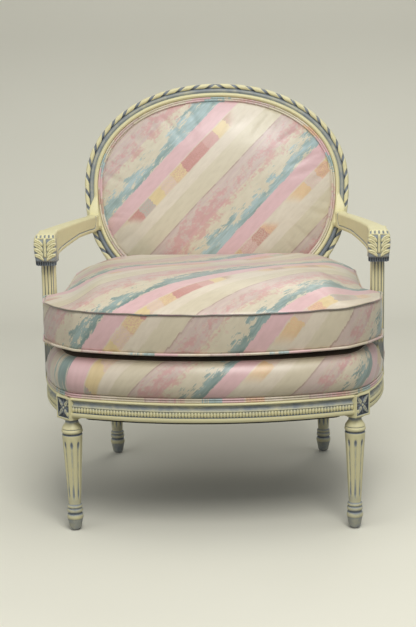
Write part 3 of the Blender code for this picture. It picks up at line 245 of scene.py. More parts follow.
PINK = shade(231, 195, 196)
TEAL = shade(158, 184, 183)
TEAL_DARK = shade(132, 158, 155)
SKY = shade(182, 206, 209)
TEAL_DEEP = shade(108, 140, 139)
CREAM_CLOTH = shade(222, 214, 190)
IVORY = shade(231, 221, 201)
TAN = shade(221, 212, 186)
MAUVE = shade(214, 195, 187)
CORAL = shade(214, 154, 154)
GOLD = shade(232, 210, 156)
PEACH = shade(234, 196, 152)
ROSE = shade(214, 168, 160)
BRICK = shade(202, 140, 130)
BLUSH = shade(226, 200, 188)
STONE = shade(186, 188, 176)
TAUPE = shade(196, 170, 144)
BROWN_LINE = shade(178, 152, 132)
WHITE = (1, 1, 1, 1)
FAINT_SHADE = (0.90, 0.89, 0.87, 1)


class Wire:
    """A node's output, so that a tree's sums are written as sums."""

    def __init__(self, tree, socket):
        self.tree = tree
        self.socket = socket

    def __add__(self, other):
        return calc("ADD", self, other)

    def __sub__(self, other):
        return calc("SUBTRACT", self, other)

    def __rsub__(self, other):
        return calc("SUBTRACT", other, self)

    def __mul__(self, other):
        return calc("MULTIPLY", self, other)

    def __truediv__(self, other):
        return calc("DIVIDE", self, other)

    def into(self, node, name):
        self.tree.links.new(self.socket, node.inputs[name])


def put(tree, kind, inputs=None, **settings):
    """Add a node; an input is given a value or a wire."""
    node = tree.nodes.new(kind)
    for key, value in settings.items():
        setattr(node, key, value)
    for key, value in (inputs or {}).items():
        if isinstance(value, Wire):
            value.into(node, key)
        else:
            node.inputs[key].default_value = value
    return node


def made(tree, kind, inputs=None, output=0, **settings):
    """One output of a new node."""
    return Wire(tree, put(tree, kind, inputs, **settings).outputs[output])


def tree_of(*values):
    return next(value.tree for value in values if isinstance(value, Wire))


def calc(operation, *values):
    return made(tree_of(*values), "ShaderNodeMath", dict(enumerate(values)), operation=operation)


def xyz(vector):
    """A vector's three parts."""
    node = put(vector.tree, "ShaderNodeSeparateXYZ", {0: vector})
    return [Wire(vector.tree, socket) for socket in node.outputs]


def rising(value, low, high):
    """0 to 1 between two values; falling where low is above high."""
    return made(value.tree, "ShaderNodeMapRange", {"Value": value, "From Min": low, "From Max": high},
                "Result", interpolation_type="SMOOTHSTEP")


def within(value, low, high, soft):
    return rising(value, low - soft, low + soft) * rising(value, high + soft, high - soft)


def mixed(share, first, second, way="MIX"):
    return made(tree_of(share, first, second), "ShaderNodeMix", {0: share, 6: first, 7: second}, 2,
                data_type="RGBA", blend_type=way)


def ramp(value, stops, way="LINEAR"):
    node = put(value.tree, "ShaderNodeValToRGB", {"Fac": value})
    node.color_ramp.interpolation = way
    elements = node.color_ramp.elements
    while len(elements) < len(stops):
        elements.new(1.0)
    for element, (position, colour) in zip(elements, stops):
        element.position = position
        element.color = colour
    return Wire(value.tree, node.outputs["Color"])


def cloudy(place, scale, detail=3.0, roughness=0.5):
    return made(place.tree, "ShaderNodeTexNoise",
                {"Vector": place, "Scale": scale, "Detail": detail, "Roughness": roughness}, "Fac")


def stretched(place, scale):
    """Coordinates scaled differently along each axis."""
    return made(place.tree, "ShaderNodeMapping", {"Vector": place, "Scale": scale})


def attribute(tree, name):
    return made(tree, "ShaderNodeAttribute", output="Fac", attribute_name=name)


def finish(name, roughness, **fixed):
    """A new material, its tree and shader, and object coordinates; fixed values go on the shader."""
    material = bpy.data.materials.new(name)
    material.use_nodes = True
    tree = material.node_tree
    shader = tree.nodes["Principled BSDF"]
    shader.inputs["Roughness"].default_value = roughness
    for key, value in fixed.items():
        shader.inputs[key.replace("_", " ")].default_value = value
    return material, tree, shader, made(tree, "ShaderNodeTexCoord", output="Object")


def bumped(shader, height, strength, distance):
    made(height.tree, "ShaderNodeBump",
         {"Height": height, "Strength": strength, "Distance": distance}).into(shader, "Normal")


def glazed_paint():
    """Cream paint, rubbed, with a blue-grey glaze left where its point attribute says; in a few places that
    attribute also paints shade.
    """
    material, tree, shader, place = finish("glazed_cream_paint", 0.42)
    cloud = cloudy(place, 42, 4.0, 0.6)
    brush = cloudy(stretched(place, (520, 520, 90)), 1.0)
    cream = mixed(cloud, CREAM_DEEP, CREAM)
    cream = mixed(brush * 0.14, cream, GREY_WASH)
    broken = attribute(tree, "glaze_and_shade") + (cloud - 0.5) * 0.40
    tone = ramp(broken, [(0.15, GREY_WASH), (0.55, SLATE), (0.95, SLATE_DARK)])
    colour = mixed(rising(broken, 0.16, 0.52), cream, tone)
    speck = rising(cloudy(place, 380, 2.0), 0.70, 0.76)
    mixed(speck * 0.55, colour, WEAR_BROWN).into(shader, "Base Color")
    (cloud * 0.20 + 0.34).into(shader, "Roughness")
    bumped(shader, brush, 0.18, 0.0006)
    return material


def stripe_colours(name, dark_teal, teal, pale_teal):
    """Painterly diagonal stripes from two coordinates, in repeats: across and along the stripes."""
    tree = bpy.data.node_groups.new(name, "ShaderNodeTree")
    for word in ("Across", "Along"):
        tree.interface.new_socket(word, in_out="INPUT", socket_type="NodeSocketFloat")
    tree.interface.new_socket("Colour", in_out="OUTPUT", socket_type="NodeSocketColor")
    given = put(tree, "NodeGroupInput").outputs
    across, along = Wire(tree, given["Across"]), Wire(tree, given["Along"])
    place = made(tree, "ShaderNodeCombineXYZ", {0: across, 1: along, 2: 0.0})

    def brushed(wide, long, detail=3.0, roughness=0.5):
        """Brush marks, so many in a repeat across and along the stripes."""
        return cloudy(stretched(place, (wide, long, 1.0)), 1.0, detail, roughness)

    def moved(value, noise, reach):
        return value + (noise - 0.5) * reach

    def blended(first, second, share):
        return first * (1 - share) + second * share

    def covering(chances, noise, reach, soft):
        """Where a brush leaves colour: likely inside its band, less so near its edges."""
        likely = ramp(part, [(at, (chance, chance, chance, 1)) for at, chance in chances])
        slow = brushed(1.3, 0.9, 1.0)
        return rising(moved(moved(likely, noise, reach), slow, 0.5), 0.5 - soft, 0.5 + soft)

    even = moved(moved(across, brushed(7, 1.6), 0.026), brushed(70, 16, 3.0, 0.6), 0.014)
    part = calc("FRACT", even)
    row = calc("FLOOR", even)

    # Plain bands, each from its start as a share of the repeat
    edge = 0.006
    bands = [(0.0, MAUVE), (0.20, CREAM_CLOTH), (0.465, PINK), (0.605, IVORY), (0.835, TAN)]
    stops = [(0.0, MAUVE)]
    for (_, before), (start, after) in zip(bands, bands[1:]):
        stops += [(start - edge, before), (start + edge, after)]
    colour = ramp(part, stops + [(1.0, TAN)])

    # Cream streaks and sponged coral over the mauve
    streaks = rising(brushed(46, 2.6, 4.0), 0.42, 0.66) * within(part, 0.02, 0.20, 0.02)
    colour = mixed(streaks * 0.45, colour, CREAM_CLOTH)
    sponge = blended(brushed(15, 8, 3.0, 0.6), brushed(52, 34, 4.0, 0.7), 0.45)
    blush = covering([(0.02, 0.28), (0.12, 0.50), (0.22, 0.50), (0.30, 0.32), (0.34, 0.0)], sponge, 1.8, 0.13)
    colour = mixed(blush * 0.62, colour, CORAL)

    # Teal brush stroke with a ragged upper edge
    dab = ramp(blended(brushed(14, 2.2, 2.0), brushed(60, 8), 0.4),
               [(0.34, dark_teal), (0.47, teal), (0.60, pale_teal)])
    bristles = blended(brushed(12, 4.2, 3.0, 0.6), brushed(78, 13, 4.0, 0.7), 0.42)
    stroke = covering([(0.25, 0.0), (0.285, 0.34), (0.36, 0.52), (0.44, 0.66), (0.468, 0.54), (0.485, 0.0)],
                      bristles, 1.9, 0.04)
    colour = mixed(stroke * 0.94, colour, dab)

    # Blocks of flecked dye in a row beside the pink
    ends = moved(along * 6.6, brushed(30, 14), 0.5)
    block = calc("FLOOR", ends + row * 0.37)
    seed = made(tree, "ShaderNodeCombineXYZ", {0: block, 1: row, 2: 3.0})
    lot = put(tree, "ShaderNodeTexWhiteNoise", {"Vector": seed}, noise_dimensions="3D")
    dyed = ramp(Wire(tree, lot.outputs["Value"]),
                [(0.0, GOLD), (0.17, ROSE), (0.28, BLUSH), (0.40, STONE), (0.50, PEACH), (0.66, GOLD),
                 (0.80, BRICK), (0.88, TAUPE)], "CONSTANT")
    second_draw = made(tree, "ShaderNodeSeparateColor", {0: Wire(tree, lot.outputs["Color"])}, 1)
    flecks = ramp(second_draw, [(0.0, CORAL), (0.60, CREAM_CLOTH), (0.80, GOLD)], "CONSTANT")
    dyed = mixed(rising(brushed(110, 64, 3.0, 0.65), 0.44, 0.60) * 0.62, dyed, flecks)
    there = within(part, 0.612, 0.728, 0.009) * rising(brushed(1.0, 1.1, 1.0), 0.40, 0.46)
    colour = mixed(there * 0.88, colour, dyed)

    # Thin brown line between repeats, and faint unevenness all over
    line = within(part, 0.0, 0.012, 0.005) * rising(brushed(8, 6), 0.36, 0.56)
    colour = mixed(line * 0.7, colour, BROWN_LINE)
    faint = ramp(brushed(30, 8, 4.0), [(0.32, FAINT_SHADE), (0.60, WHITE)])
    put(tree, "NodeGroupOutput", {"Colour": mixed(0.7, colour, faint, "MULTIPLY")})
    return tree


def striped_fabric(stripes, name, cord=False, front_darkening=1.0):
    """Satin furnishing fabric, laid out by the cloth map, or along a cord by its run attribute; darker
    towards the front, faintly on most fabrics and strongly on the upper welt's cord as painted shade.
    """
    material, tree, shader, place = finish(name, 0.32, Specular_IOR_Level=0.80, Sheen_Weight=0.25,
                                           Sheen_Roughness=0.4)
    height = cloudy(place, 900, 2.0)
    if cord:
        across = along = attribute(tree, "run") / STRIPE_STEP
    else:
        across, along, _ = xyz(made(tree, "ShaderNodeUVMap", uv_map="cloth"))
        threads = 2 * math.pi * 160
        warp = calc("SINE", (across + along) * threads)
        weft = calc("SINE", (along - across) * threads)
        height = warp * weft + height * 0.8
    colour = made(tree, "ShaderNodeGroup", node_tree=stripes)
    across.into(colour.socket.node, "Across")
    along.into(colour.socket.node, "Along")
    # Darker towards the front: faint and warm on most fabrics, strong on the upper welt's cord as painted
    # shade
    toward_front = rising(xyz(place)[1], LEG_LINE + 0.07, LEG_LINE)
    mixed(toward_front, colour, (front_darkening, front_darkening * 0.97, front_darkening * 0.94, 1), "MULTIPLY").into(shader, "Base Color")
    bumped(shader, height, 0.10, 0.0003)
    return material


def plain_cloth(name, colour, second, threads, roughness):
    """A plain woven cloth or webbing."""
    material, _, shader, place = finish(name, roughness)
    x, y, z = xyz(place)
    weave = calc("SINE", x * threads) * calc("SINE", (y + z) * threads)
    mixed(weave * 0.25 + cloudy(place, 60, 4.0), colour, second).into(shader, "Base Color")
    bumped(shader, weave, 0.35, 0.0006)
    return material


def bare_wood():
    material, _, shader, place = finish("bare_beech", 0.65)
    grain = cloudy(stretched(place, (30, 30, 260)), 1.0, 5.0, 0.65)
    pores = cloudy(stretched(place, (90, 90, 1400)), 1.0, 2.0)
    colour = mixed(grain, shade(196, 160, 116), shade(164, 124, 82))
    mixed(pores * 0.3, colour, shade(120, 88, 58)).into(shader, "Base Color")
    bumped(shader, pores, 0.2, 0.0005)
    return material


def spring_steel():
    material, _, shader, place = finish("oiled_steel", 0.35, Metallic=1.0)
    cloud = cloudy(place, 120)
    mixed(cloud, shade(150, 150, 152), shade(184, 184, 184)).into(shader, "Base Color")
    (cloud * 0.25 + 0.25).into(shader, "Roughness")
    return material


PAINT = glazed_paint()
BACK_STRIPES = stripe_colours("back_stripes", TEAL_DARK, TEAL, SKY)
SEAT_STRIPES = stripe_colours("seat_stripes", TEAL_DEEP, TEAL_DARK, TEAL)
BACK_FABRIC = striped_fabric(BACK_STRIPES, "striped_satin_back")
FABRIC = striped_fabric(SEAT_STRIPES, "striped_satin")
CORD_FABRIC = striped_fabric(BACK_STRIPES, "striped_satin_cord", cord=True)
# Cord fabric darkened at the front: painted shade on the cushion's upper welt
SHADED_CORD = striped_fabric(BACK_STRIPES, "shaded_satin_cord", cord=True, front_darkening=0.26)
# Dark platform cloth for the deck's top; its darkness is also painted shade for the crevice under the cushion
PLATFORM_AND_SHADE = plain_cloth("platform_cloth_and_shade", shade(104, 95, 84), shade(88, 80, 70), 5200, 0.8)
JUTE = plain_cloth("jute_webbing", shade(176, 146, 104), shade(140, 110, 74), 1900, 0.9)
DUST = plain_cloth("black_dust_cloth", shade(38, 38, 41), shade(28, 28, 31), 3600, 0.9)
WOOD = bare_wood()
STEEL = spring_steel()


# Meshes. A shell is points, faces and, on painted wood, the glaze on each point, which in a few places also
# paints shade.

def smooth(low, high, value):
    t = np.clip((value - low) / (high - low), 0, 1)
    return t * t * (3 - 2 * t)


def between(value, low, high, soft):
    return smooth(low - soft, low + soft, value) * smooth(high + soft, high - soft, value)


def rounded(value):
    """Height of a half circle of radius 1 at a distance from its middle."""
    return np.sqrt(np.clip(1 - value**2, 0, 1))


def grid(rows, count, ring=False, loop=False):
    """Quads over rows of points; ring joins a row's ends, loop joins the last row to the first."""
    r, c = np.meshgrid(np.arange(rows if loop else rows - 1), np.arange(count if ring else count - 1),
                       indexing="ij")
    r2, c2 = (r + 1) % rows, (c + 1) % count
    corners = [r * count + c, r * count + c2, r2 * count + c2, r2 * count + c]
    return np.stack(corners, -1).reshape(-1, 4).tolist()


def loft(rings, glaze_and_shade=None, closed=False):
    """A shell over rings of points, closed on itself or with both ends capped."""
    rings = np.asarray(rings)
    rows, count = rings.shape[:2]
    faces = grid(rows, count, True, closed)
    if not closed:
        faces += [list(range(count)), list(range((rows - 1) * count, rows * count))]
    if glaze_and_shade is not None:
        glaze_and_shade = np.broadcast_to(np.ravel(glaze_and_shade), rows * count)
    return rings.reshape(-1, 3), faces, glaze_and_shade


def joined(*shells):
    """Several closed shells as one."""
    points, faces, glaze_and_shade, start = [], [], [], 0
    for shell_points, shell_faces, shell_glaze in shells:
        points.append(shell_points)
        glaze_and_shade.append(shell_glaze)
        faces += [[i + start for i in face] for face in shell_faces]
        start += len(shell_points)
    return np.concatenate(points), faces, np.concatenate(glaze_and_shade)


def moved_shell(shell, move):
    return move(shell[0]), shell[1], shell[2]


def values_of(items, key, width=1, kind=float):
    """One value of each item of a mesh, as an array."""
    found = np.empty(len(items) * width, kind)
    items.foreach_get(key, found)
    return found.reshape(-1, width) if width > 1 else found


def settle(mesh, sharp):
    """Merge doubled points, turn faces outwards, and shade."""
    bm = bmesh.new()
    bm.from_mesh(mesh)
    bmesh.ops.remove_doubles(bm, verts=bm.verts, dist=1e-6)
    bmesh.ops.recalc_face_normals(bm, faces=bm.faces)
    bm.to_mesh(mesh)
    bm.free()
    mesh.shade_smooth()
    if sharp < 180:
        mesh.set_sharp_from_angle(angle=math.radians(sharp))


def new_piece(name, shell, material, layout=None, sharp=40):
    """An object from a shell in the chair's own measure."""
    points, faces, glaze_and_shade = shell
    mesh = bpy.data.meshes.new(name)
    mesh.from_pydata((points + (0, LEG_LINE, 0)).tolist(), [], faces)
    if glaze_and_shade is not None:
        mesh.attributes.new("glaze_and_shade", "FLOAT", "POINT").data.foreach_set("value", glaze_and_shade.astype(np.float32))
    if layout is not None:
        lay_cloth(mesh, layout)
    settle(mesh, sharp)
    mesh.materials.append(material)
    return bpy.data.objects.new(name, mesh)


def place_piece(obj, slot, *nodes, body="chair_frame"):
    if obj.name not in bpy.context.scene.collection.objects:
        bpy.context.scene.collection.objects.link(obj)
    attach(obj, body)
    if nodes:
        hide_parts(*nodes)
    return obj


def painted(name, shell, *nodes, sharp=40):
    place_piece(new_piece(name, shell, PAINT, sharp=sharp), "painted_wood", *nodes)


def lay_cloth(mesh, layout):
    """The cloth map, from one pair of numbers for each point."""
    corners = values_of(mesh.loops, "vertex_index", 1, np.int32)
    cloth = mesh.uv_layers.new(name="cloth")
    cloth.data.foreach_set("uv", np.asarray(layout, np.float32)[corners].ravel())


def stripes_at(u, v, place):
    """Where points lie on the striped fabric: across and along its stripes, in repeats."""
    angle, start = STRIPE_PLACES[place]
    slant = math.tan(math.radians(angle))
    return np.stack([(u - v / slant) / STRIPE_STEP + start, (u / slant + v) / STRIPE_STEP], -1)


def baked(obj):
    """The object's mesh with its modifiers applied, as a plain mesh."""
    graph = bpy.context.evaluated_depsgraph_get()
    return bpy.data.meshes.new_from_object(obj.evaluated_get(graph))


# Geometry Nodes: what runs along a path

def path_tree(name, **sizes):
    """A tree whose inputs are a path, sizes and a finish; the path comes as a curve."""
    tree = bpy.data.node_groups.new(name, "GeometryNodeTree")
    tree.interface.new_socket("Path", in_out="INPUT", socket_type="NodeSocketGeometry")
    for label, value in sizes.items():
        socket = tree.interface.new_socket(label, in_out="INPUT", socket_type="NodeSocketFloat")
        socket.default_value = value
    tree.interface.new_socket("Finish", in_out="INPUT", socket_type="NodeSocketMaterial")
    tree.interface.new_socket("Geometry", in_out="OUTPUT", socket_type="NodeSocketGeometry")
    given = {socket.name: Wire(tree, socket) for socket in put(tree, "NodeGroupInput").outputs if socket.name}
    return tree, given, made(tree, "GeometryNodeMeshToCurve", {"Mesh": given["Path"]})


def end_tree(tree, geometry, given):
    real = made(tree, "GeometryNodeRealizeInstances", {"Geometry": geometry})
    done = made(tree, "GeometryNodeSetMaterial", {"Geometry": real, "Material": given["Finish"]})
    put(tree, "NodeGroupOutput", {"Geometry": done})
    return tree


def marked(geometry, name, value):
    return made(geometry.tree, "GeometryNodeStoreNamedAttribute",
                {"Geometry": geometry, "Name": name, "Value": value})


def ring_along(curve, ring):
    return made(curve.tree, "GeometryNodeCurveToMesh",
                {"Curve": curve, "Profile Curve": ring, "Fill Caps": True})


def circle(radius, points):
    return made(radius.tree, "GeometryNodeCurvePrimitiveCircle", {"Resolution": points, "Radius": radius})


def cord_tree():
    """A round cord along the path, with its length so far stored for the fabric."""
    tree, given, curve = path_tree("sewn_cord", Radius=0.002)
    length = made(tree, "GeometryNodeSplineParameter", output="Length")
    cord = ring_along(marked(curve, "run", length), circle(given["Radius"], 10))
    return end_tree(tree, cord, given)


def rope_tree():
    """A rope carved as one strand winding round, its hand turned over at the middle of the path."""
    tree, given, curve = path_tree("rope_moulding", Radius=0.005, Twist=0.034, Middle=1.0)
    length = made(tree, "GeometryNodeSplineParameter", output="Length")
    turns = calc("ABSOLUTE", length - given["Middle"]) / given["Twist"]
    turned = made(tree, "GeometryNodeSetCurveTilt", {"Curve": curve, "Tilt": math.pi - turns * (2 * math.pi)})
    here = made(tree, "GeometryNodeInputPosition")
    facing = xyz(here)[1] / given["Radius"]
    ring = marked(circle(given["Radius"], 24), "glaze_and_shade", rising(facing, -0.30, -0.70) * 0.66)
    reach = rising(facing, -0.90, -0.15) * 0.36 + 0.64
    scaled = made(tree, "ShaderNodeVectorMath", {0: here, "Scale": reach}, operation="SCALE")
    shaped = made(tree, "GeometryNodeSetPosition", {"Geometry": ring, "Position": scaled})
    return end_tree(tree, ring_along(turned, shaped), given)


def pearl_tree():
    """A row of oval pearls along the path."""
    tree, given, curve = path_tree("pearl_row", Pitch=0.006, Wide=0.005, Tall=0.009, Deep=0.004, Tone=0.1)
    steps = made(tree, "GeometryNodeResampleCurve", {"Curve": curve, "Length": given["Pitch"]}, mode="LENGTH")
    ball = made(tree, "GeometryNodeMeshUVSphere", {"Segments": 8, "Rings": 6, "Radius": 0.5}, "Mesh")
    size = made(tree, "ShaderNodeCombineXYZ", {0: given["Wide"], 1: given["Deep"], 2: given["Tall"]})
    along = made(tree, "GeometryNodeInputTangent")
    turn = made(tree, "FunctionNodeAlignRotationToVector", {"Vector": along}, axis="X", pivot_axis="Z")
    high = xyz(made(tree, "GeometryNodeInputPosition"))[2]
    toned = marked(ball, "glaze_and_shade", rising(high, -0.10, 0.30) * given["Tone"])
    row = made(tree, "GeometryNodeInstanceOnPoints",
               {"Points": steps, "Instance": toned, "Rotation": turn, "Scale": size})
    return end_tree(tree, row, given)


CORD = cord_tree()
ROPE = rope_tree()
PEARLS = pearl_tree()


def run_along(name, tree, paths, material, closed=False, **sizes):
    """A plain mesh that a tree makes along one or more paths."""
    points, edges = [], []
    for path in paths:
        start, count = len(points), len(path)
        points += (np.asarray(path) + (0, LEG_LINE, 0)).tolist()
        edges += [(start + i, start + i + 1) for i in range(count - 1)]
        if closed:
            edges.append((start + count - 1, start))
    mesh = bpy.data.meshes.new(f"{name}_path")
    mesh.from_pydata(points, edges, [])
    source = bpy.data.objects.new(f"{name}_path", mesh)
    bpy.context.scene.collection.objects.link(source)
    modifier = source.modifiers.new("run", "NODES")
    modifier.node_group = tree
    sizes["Finish"] = material
    for item in tree.interface.items_tree:
        if item.in_out == "INPUT" and item.name in sizes:
            modifier[item.identifier] = sizes[item.name]
    result = baked(source)
    bpy.data.objects.remove(source)
    bpy.data.meshes.remove(mesh)
    result.name = name
    settle(result, 60)
    return bpy.data.objects.new(name, result)


# Lines of the seat in plan, for the right half

def heading(angle):
    return np.array((math.cos(angle), math.sin(angle)))


FRONT_AXIS = np.array((FRONT_LEG_HALF, 0.0))
BLOCK_OUT = heading(BLOCK_TURN - math.pi / 2)
BLOCK_ALONG = heading(BLOCK_TURN)
FRONT_END = FRONT_AXIS + (BLOCK_OUT - BLOCK_ALONG) * (FRONT_BLOCK / 2) - BLOCK_OUT * FRONT_SETBACK
SIDE_START = FRONT_AXIS + (BLOCK_OUT + BLOCK_ALONG) * (FRONT_BLOCK / 2) - BLOCK_OUT * SIDE_SETBACK
SIDE_END = np.array((REAR_LEG_HALF + REAR_BLOCK / 2 - 0.006, REAR_BLOCK_Y + REAR_BLOCK / 2 - 0.0018))
BOW_RADIUS = (FRONT_END[0] ** 2 + FRONT_BOW**2) / (2 * FRONT_BOW)
BOW_CENTRE_Y = FRONT_END[1] - FRONT_BOW + BOW_RADIUS
BOW_ANGLE = math.asin(FRONT_END[0] / BOW_RADIUS)
REAR_HALF = REAR_LEG_HALF - REAR_BLOCK / 2


def front_line(count, run_on=0.0):
    reach = BOW_ANGLE + run_on / BOW_RADIUS
    a = np.linspace(-reach, reach, count)
    return np.stack([BOW_RADIUS * np.sin(a), BOW_CENTRE_Y - BOW_RADIUS * np.cos(a)], -1)


def side_line(count, start=0.0, end=1.0):
    t = np.linspace(start, end, count)[:, None]
    s = 1 - t
    first = SIDE_START + heading(SIDE_START_HEADING) * SIDE_START_PULL
    last = SIDE_END - heading(SIDE_END_HEADING) * SIDE_END_PULL
    return SIDE_START * s**3 + first * (3 * s * s * t) + last * (3 * s * t * t) + SIDE_END * t**3


def side_at(y):
    """Where along the side rail its outer face reaches y."""
    fine = side_line(2001)
    return np.interp(y, fine[:, 1], np.linspace(0, 1, len(fine)))


def rear_line(count, run_on=0.0):
    x = np.linspace(REAR_HALF + run_on, -REAR_HALF - run_on, count)
    return np.stack([x, REAR_BLOCK_Y + RAIL_THICK / 2 + REAR_BOW * (1 - (x / REAR_HALF) ** 2)], -1)


def mirrored(line):
    return line[::-1] * (-1, 1)


def outward(line, closed=False):
    if closed:
        along = np.roll(line, -1, 0) - np.roll(line, 1, 0)
    else:
        along = np.gradient(line, axis=0)
    along = along / np.linalg.norm(along, axis=1)[:, None]
    return np.stack([along[:, 1], -along[:, 0]], -1)


def offset(line, distance, closed=False):
    return line + outward(line, closed) * distance


def run_of(line):
    """Length along a line up to each of its points."""
    return np.concatenate([[0], np.cumsum(np.linalg.norm(np.diff(line, axis=0), axis=1))])


def run_round(loop):
    """Length along a closed line from its first point, negative on its second half; and the whole."""
    run = run_of(loop)
    whole = run[-1] + np.linalg.norm(loop[0] - loop[-1])
    return np.where(run > whole / 2, run - whole, run), whole


def spaced(line, step, closed=False):
    """The same line with points at even steps."""
    if closed:
        line = np.concatenate([line, line[:1]])
    run = run_of(line)
    at = np.linspace(0, run[-1], int(round(run[-1] / step)) + 1)
    points = np.stack([np.interp(at, run, part) for part in line.T], -1)
    return points[:-1] if closed else points


def softened(line, reach, step):
    """A closed line with its corners eased over about this reach."""
    width = max(1, int(round(reach / step)))
    weights = np.exp(-0.5 * (np.arange(-3 * width, 3 * width + 1) / width) ** 2)
    weights /= weights.sum()
    wrapped = np.concatenate([line[-3 * width:], line, line[:3 * width]])
    return np.stack([np.convolve(part, weights, "valid") for part in wrapped.T], -1)


def at_height(line, z):
    return np.column_stack([line, np.broadcast_to(z, len(line))])


POST_CENTRE = np.array((side_line(2, side_at(POST_Y), 1.0)[0][0] - POST_SIDE / 2 - 0.001, POST_Y))


# The back's own plane

def back_point(across, up, forward):
    x, y, z = BACK_ORIGIN
    sine, cosine = math.sin(BACK_RAKE), math.cos(BACK_RAKE)
    return np.stack(np.broadcast_arrays(x + across, y + up * sine - forward * cosine,
                                        z + up * cosine + forward * sine), -1)


def back_across_up(mesh):
    """Coordinates in the back's plane of a mesh's points: across, up and forward."""
    points = values_of(mesh.vertices, "co", 3)
    y, z = points[:, 1] - LEG_LINE - BACK_ORIGIN[1], points[:, 2] - BACK_ORIGIN[2]
    sine, cosine = math.sin(BACK_RAKE), math.cos(BACK_RAKE)
    return points[:, 0], y * sine + z * cosine, -y * cosine + z * sine


def oval(angle, inset=0.0):
    """Outline of the back in its plane, moved inwards by inset."""
    def outline(a):
        c, s = np.cos(a), np.sin(a)
        tall = np.where(s > 0, OVAL_UP, OVAL_DOWN)
        power = 2 / np.where(s > 0, OVAL_POWER_UP, OVAL_POWER)
        return np.stack([OVAL_HALF_WIDE * np.sign(c) * np.abs(c) ** power,
                         tall * np.sign(s) * np.abs(s) ** power], -1)
    along = outline(angle + 0.01) - outline(angle - 0.01)
    out = np.stack([along[..., 1], -along[..., 0]], -1)
    out /= np.linalg.norm(out, axis=-1)[..., None]
    return outline(angle) - out * np.asarray(inset)[..., None]


def even_oval(count, inset):
    """Angles at even steps round the oval, from its lowest point."""
    a = np.linspace(-math.pi / 2, 1.5 * math.pi, 4001)
    run = run_of(oval(a, inset))
    return np.interp(np.linspace(0, run[-1], count, endpoint=False), run, a)


def oval_path(angles, inset, forward):
    return back_point(*oval(angles, inset).T, forward)


def oval_swept(section, angles):
    return np.stack([oval_path(angles, inset, forward) for inset, forward in section], 1)


# Mouldings as rows of (across, height, glaze)

def straight(start, end, count, glaze_and_shade):
    t = np.linspace(0, 1, count)[:, None]
    return np.concatenate([np.array(start) * (1 - t) + np.array(end) * t, np.full((count, 1), glaze_and_shade)], 1)


def bowed(start, end, rise, count, glaze_and_shade, glaze_middle):
    """An arc from start to end that stands out by rise to the right of its way."""
    start, end = np.array(start), np.array(end)
    t = np.linspace(0, 1, count)
    way = end - start
    side = np.array((way[1], -way[0])) / np.linalg.norm(way)
    swell = np.sin(np.pi * t) ** 0.8
    points = start + way * t[:, None] + side * (rise * swell)[:, None]
    return np.column_stack([points, glaze_and_shade + (glaze_middle - glaze_and_shade) * swell])


def rail_moulding():
    """Front or side rail, across from its outer face: fillet, pearl bed, cove, bead and tongue."""
    z1 = RAIL_BOTTOM + FILLET_TALL
    z2 = z1 + PEARL_TALL
    z3 = z2 + COVE_TALL
    return np.concatenate([
        straight((-RAIL_THICK, RAIL_BOTTOM), (-0.0020, RAIL_BOTTOM), 4, 0.3),
        bowed((-0.0016, RAIL_BOTTOM), (-0.0004, z1 - 0.0006), 0.0010, 12, 0.12, 0.0),
        straight((-0.0040, z1), (-0.0042, z1 + 0.0014), 3, 0.7),
        straight((-0.0034, z1 + 0.0022), (-0.0034, z2 - 0.0016), 5, 0.42),
        straight((-0.0030, z2 - 0.0008), (-0.0012, z2), 3, 0.35),
        bowed((-0.0018, z2 + 0.0006), (-0.0020, z3 - 0.0008), -0.0042, 14, 0.34, 0.46),
        # A dark line where the cove meets the bead: glaze in the quirk and painted shade under the bead
        straight((-0.0028, z3 - 0.0002), (-0.0024, z3), 2, 0.80),
        bowed((-0.0018, z3 + 0.0003), (-0.0022, RAIL_TOP), 0.0026, 12, 0.15, 0.0),
        straight((-TONGUE_SETBACK, RAIL_TOP), (-TONGUE_SETBACK, TONGUE_TOP), 2, 0.2),
        straight((-RAIL_THICK, TONGUE_TOP), (-RAIL_THICK, RAIL_BOTTOM + 0.002), 2, 0.1)])


def rear_moulding():
    return np.concatenate([
        straight((-RAIL_THICK, RAIL_BOTTOM), (-0.0040, RAIL_BOTTOM), 3, 0.2),
        bowed((-0.0030, RAIL_BOTTOM), (-0.0004, RAIL_BOTTOM + 0.0035), 0.0010, 6, 0.1, 0.0),
        straight((0, RAIL_BOTTOM + 0.006), (0, RAIL_TOP - 0.002), 6, 0.02),
        straight((-0.0010, RAIL_TOP), (-TONGUE_SETBACK, RAIL_TOP), 3, 0.2),
        straight((-TONGUE_SETBACK, TONGUE_TOP), (-RAIL_THICK, TONGUE_TOP), 2, 0.1)])


def swept(line, section):
    """A section carried along a plan line."""
    across, height, glaze_and_shade = section.T
    plan = line[:, None] + outward(line)[:, None] * across[:, None]
    rings = np.concatenate([plan, np.broadcast_to(height[:, None], plan.shape[:2] + (1,))], -1)
    return loft(rings, np.tile(glaze_and_shade, len(line)))


def seat_rails():
    lead = SIDE_START - heading(SIDE_START_HEADING) * np.linspace(0.012, 0.003, 3)[:, None]
    side = np.concatenate([lead, side_line(150)])
    side_row = side_line(150, 0.01, 0.985)
    for word, node, line, row in (
            ("front", "front_seat_rail", front_line(150, 0.010), front_line(150, -0.004)),
            ("right", "right_side_rail", side, side_row),
            ("left", "left_side_rail", mirrored(side), mirrored(side_row))):
        painted(f"moulded_{word}_rail", swept(line, rail_moulding()), node)
        path = at_height(offset(row, -PEARL_INSET), PEARL_MIDDLE)
        place_piece(run_along(f"{word}_rail_pearls", PEARLS, [path], PAINT, **PEARL_SIZES), "painted_wood")
    painted("moulded_rear_rail", swept(rear_line(40, 0.006), rear_moulding()), "rear_seat_rail")


# Legs

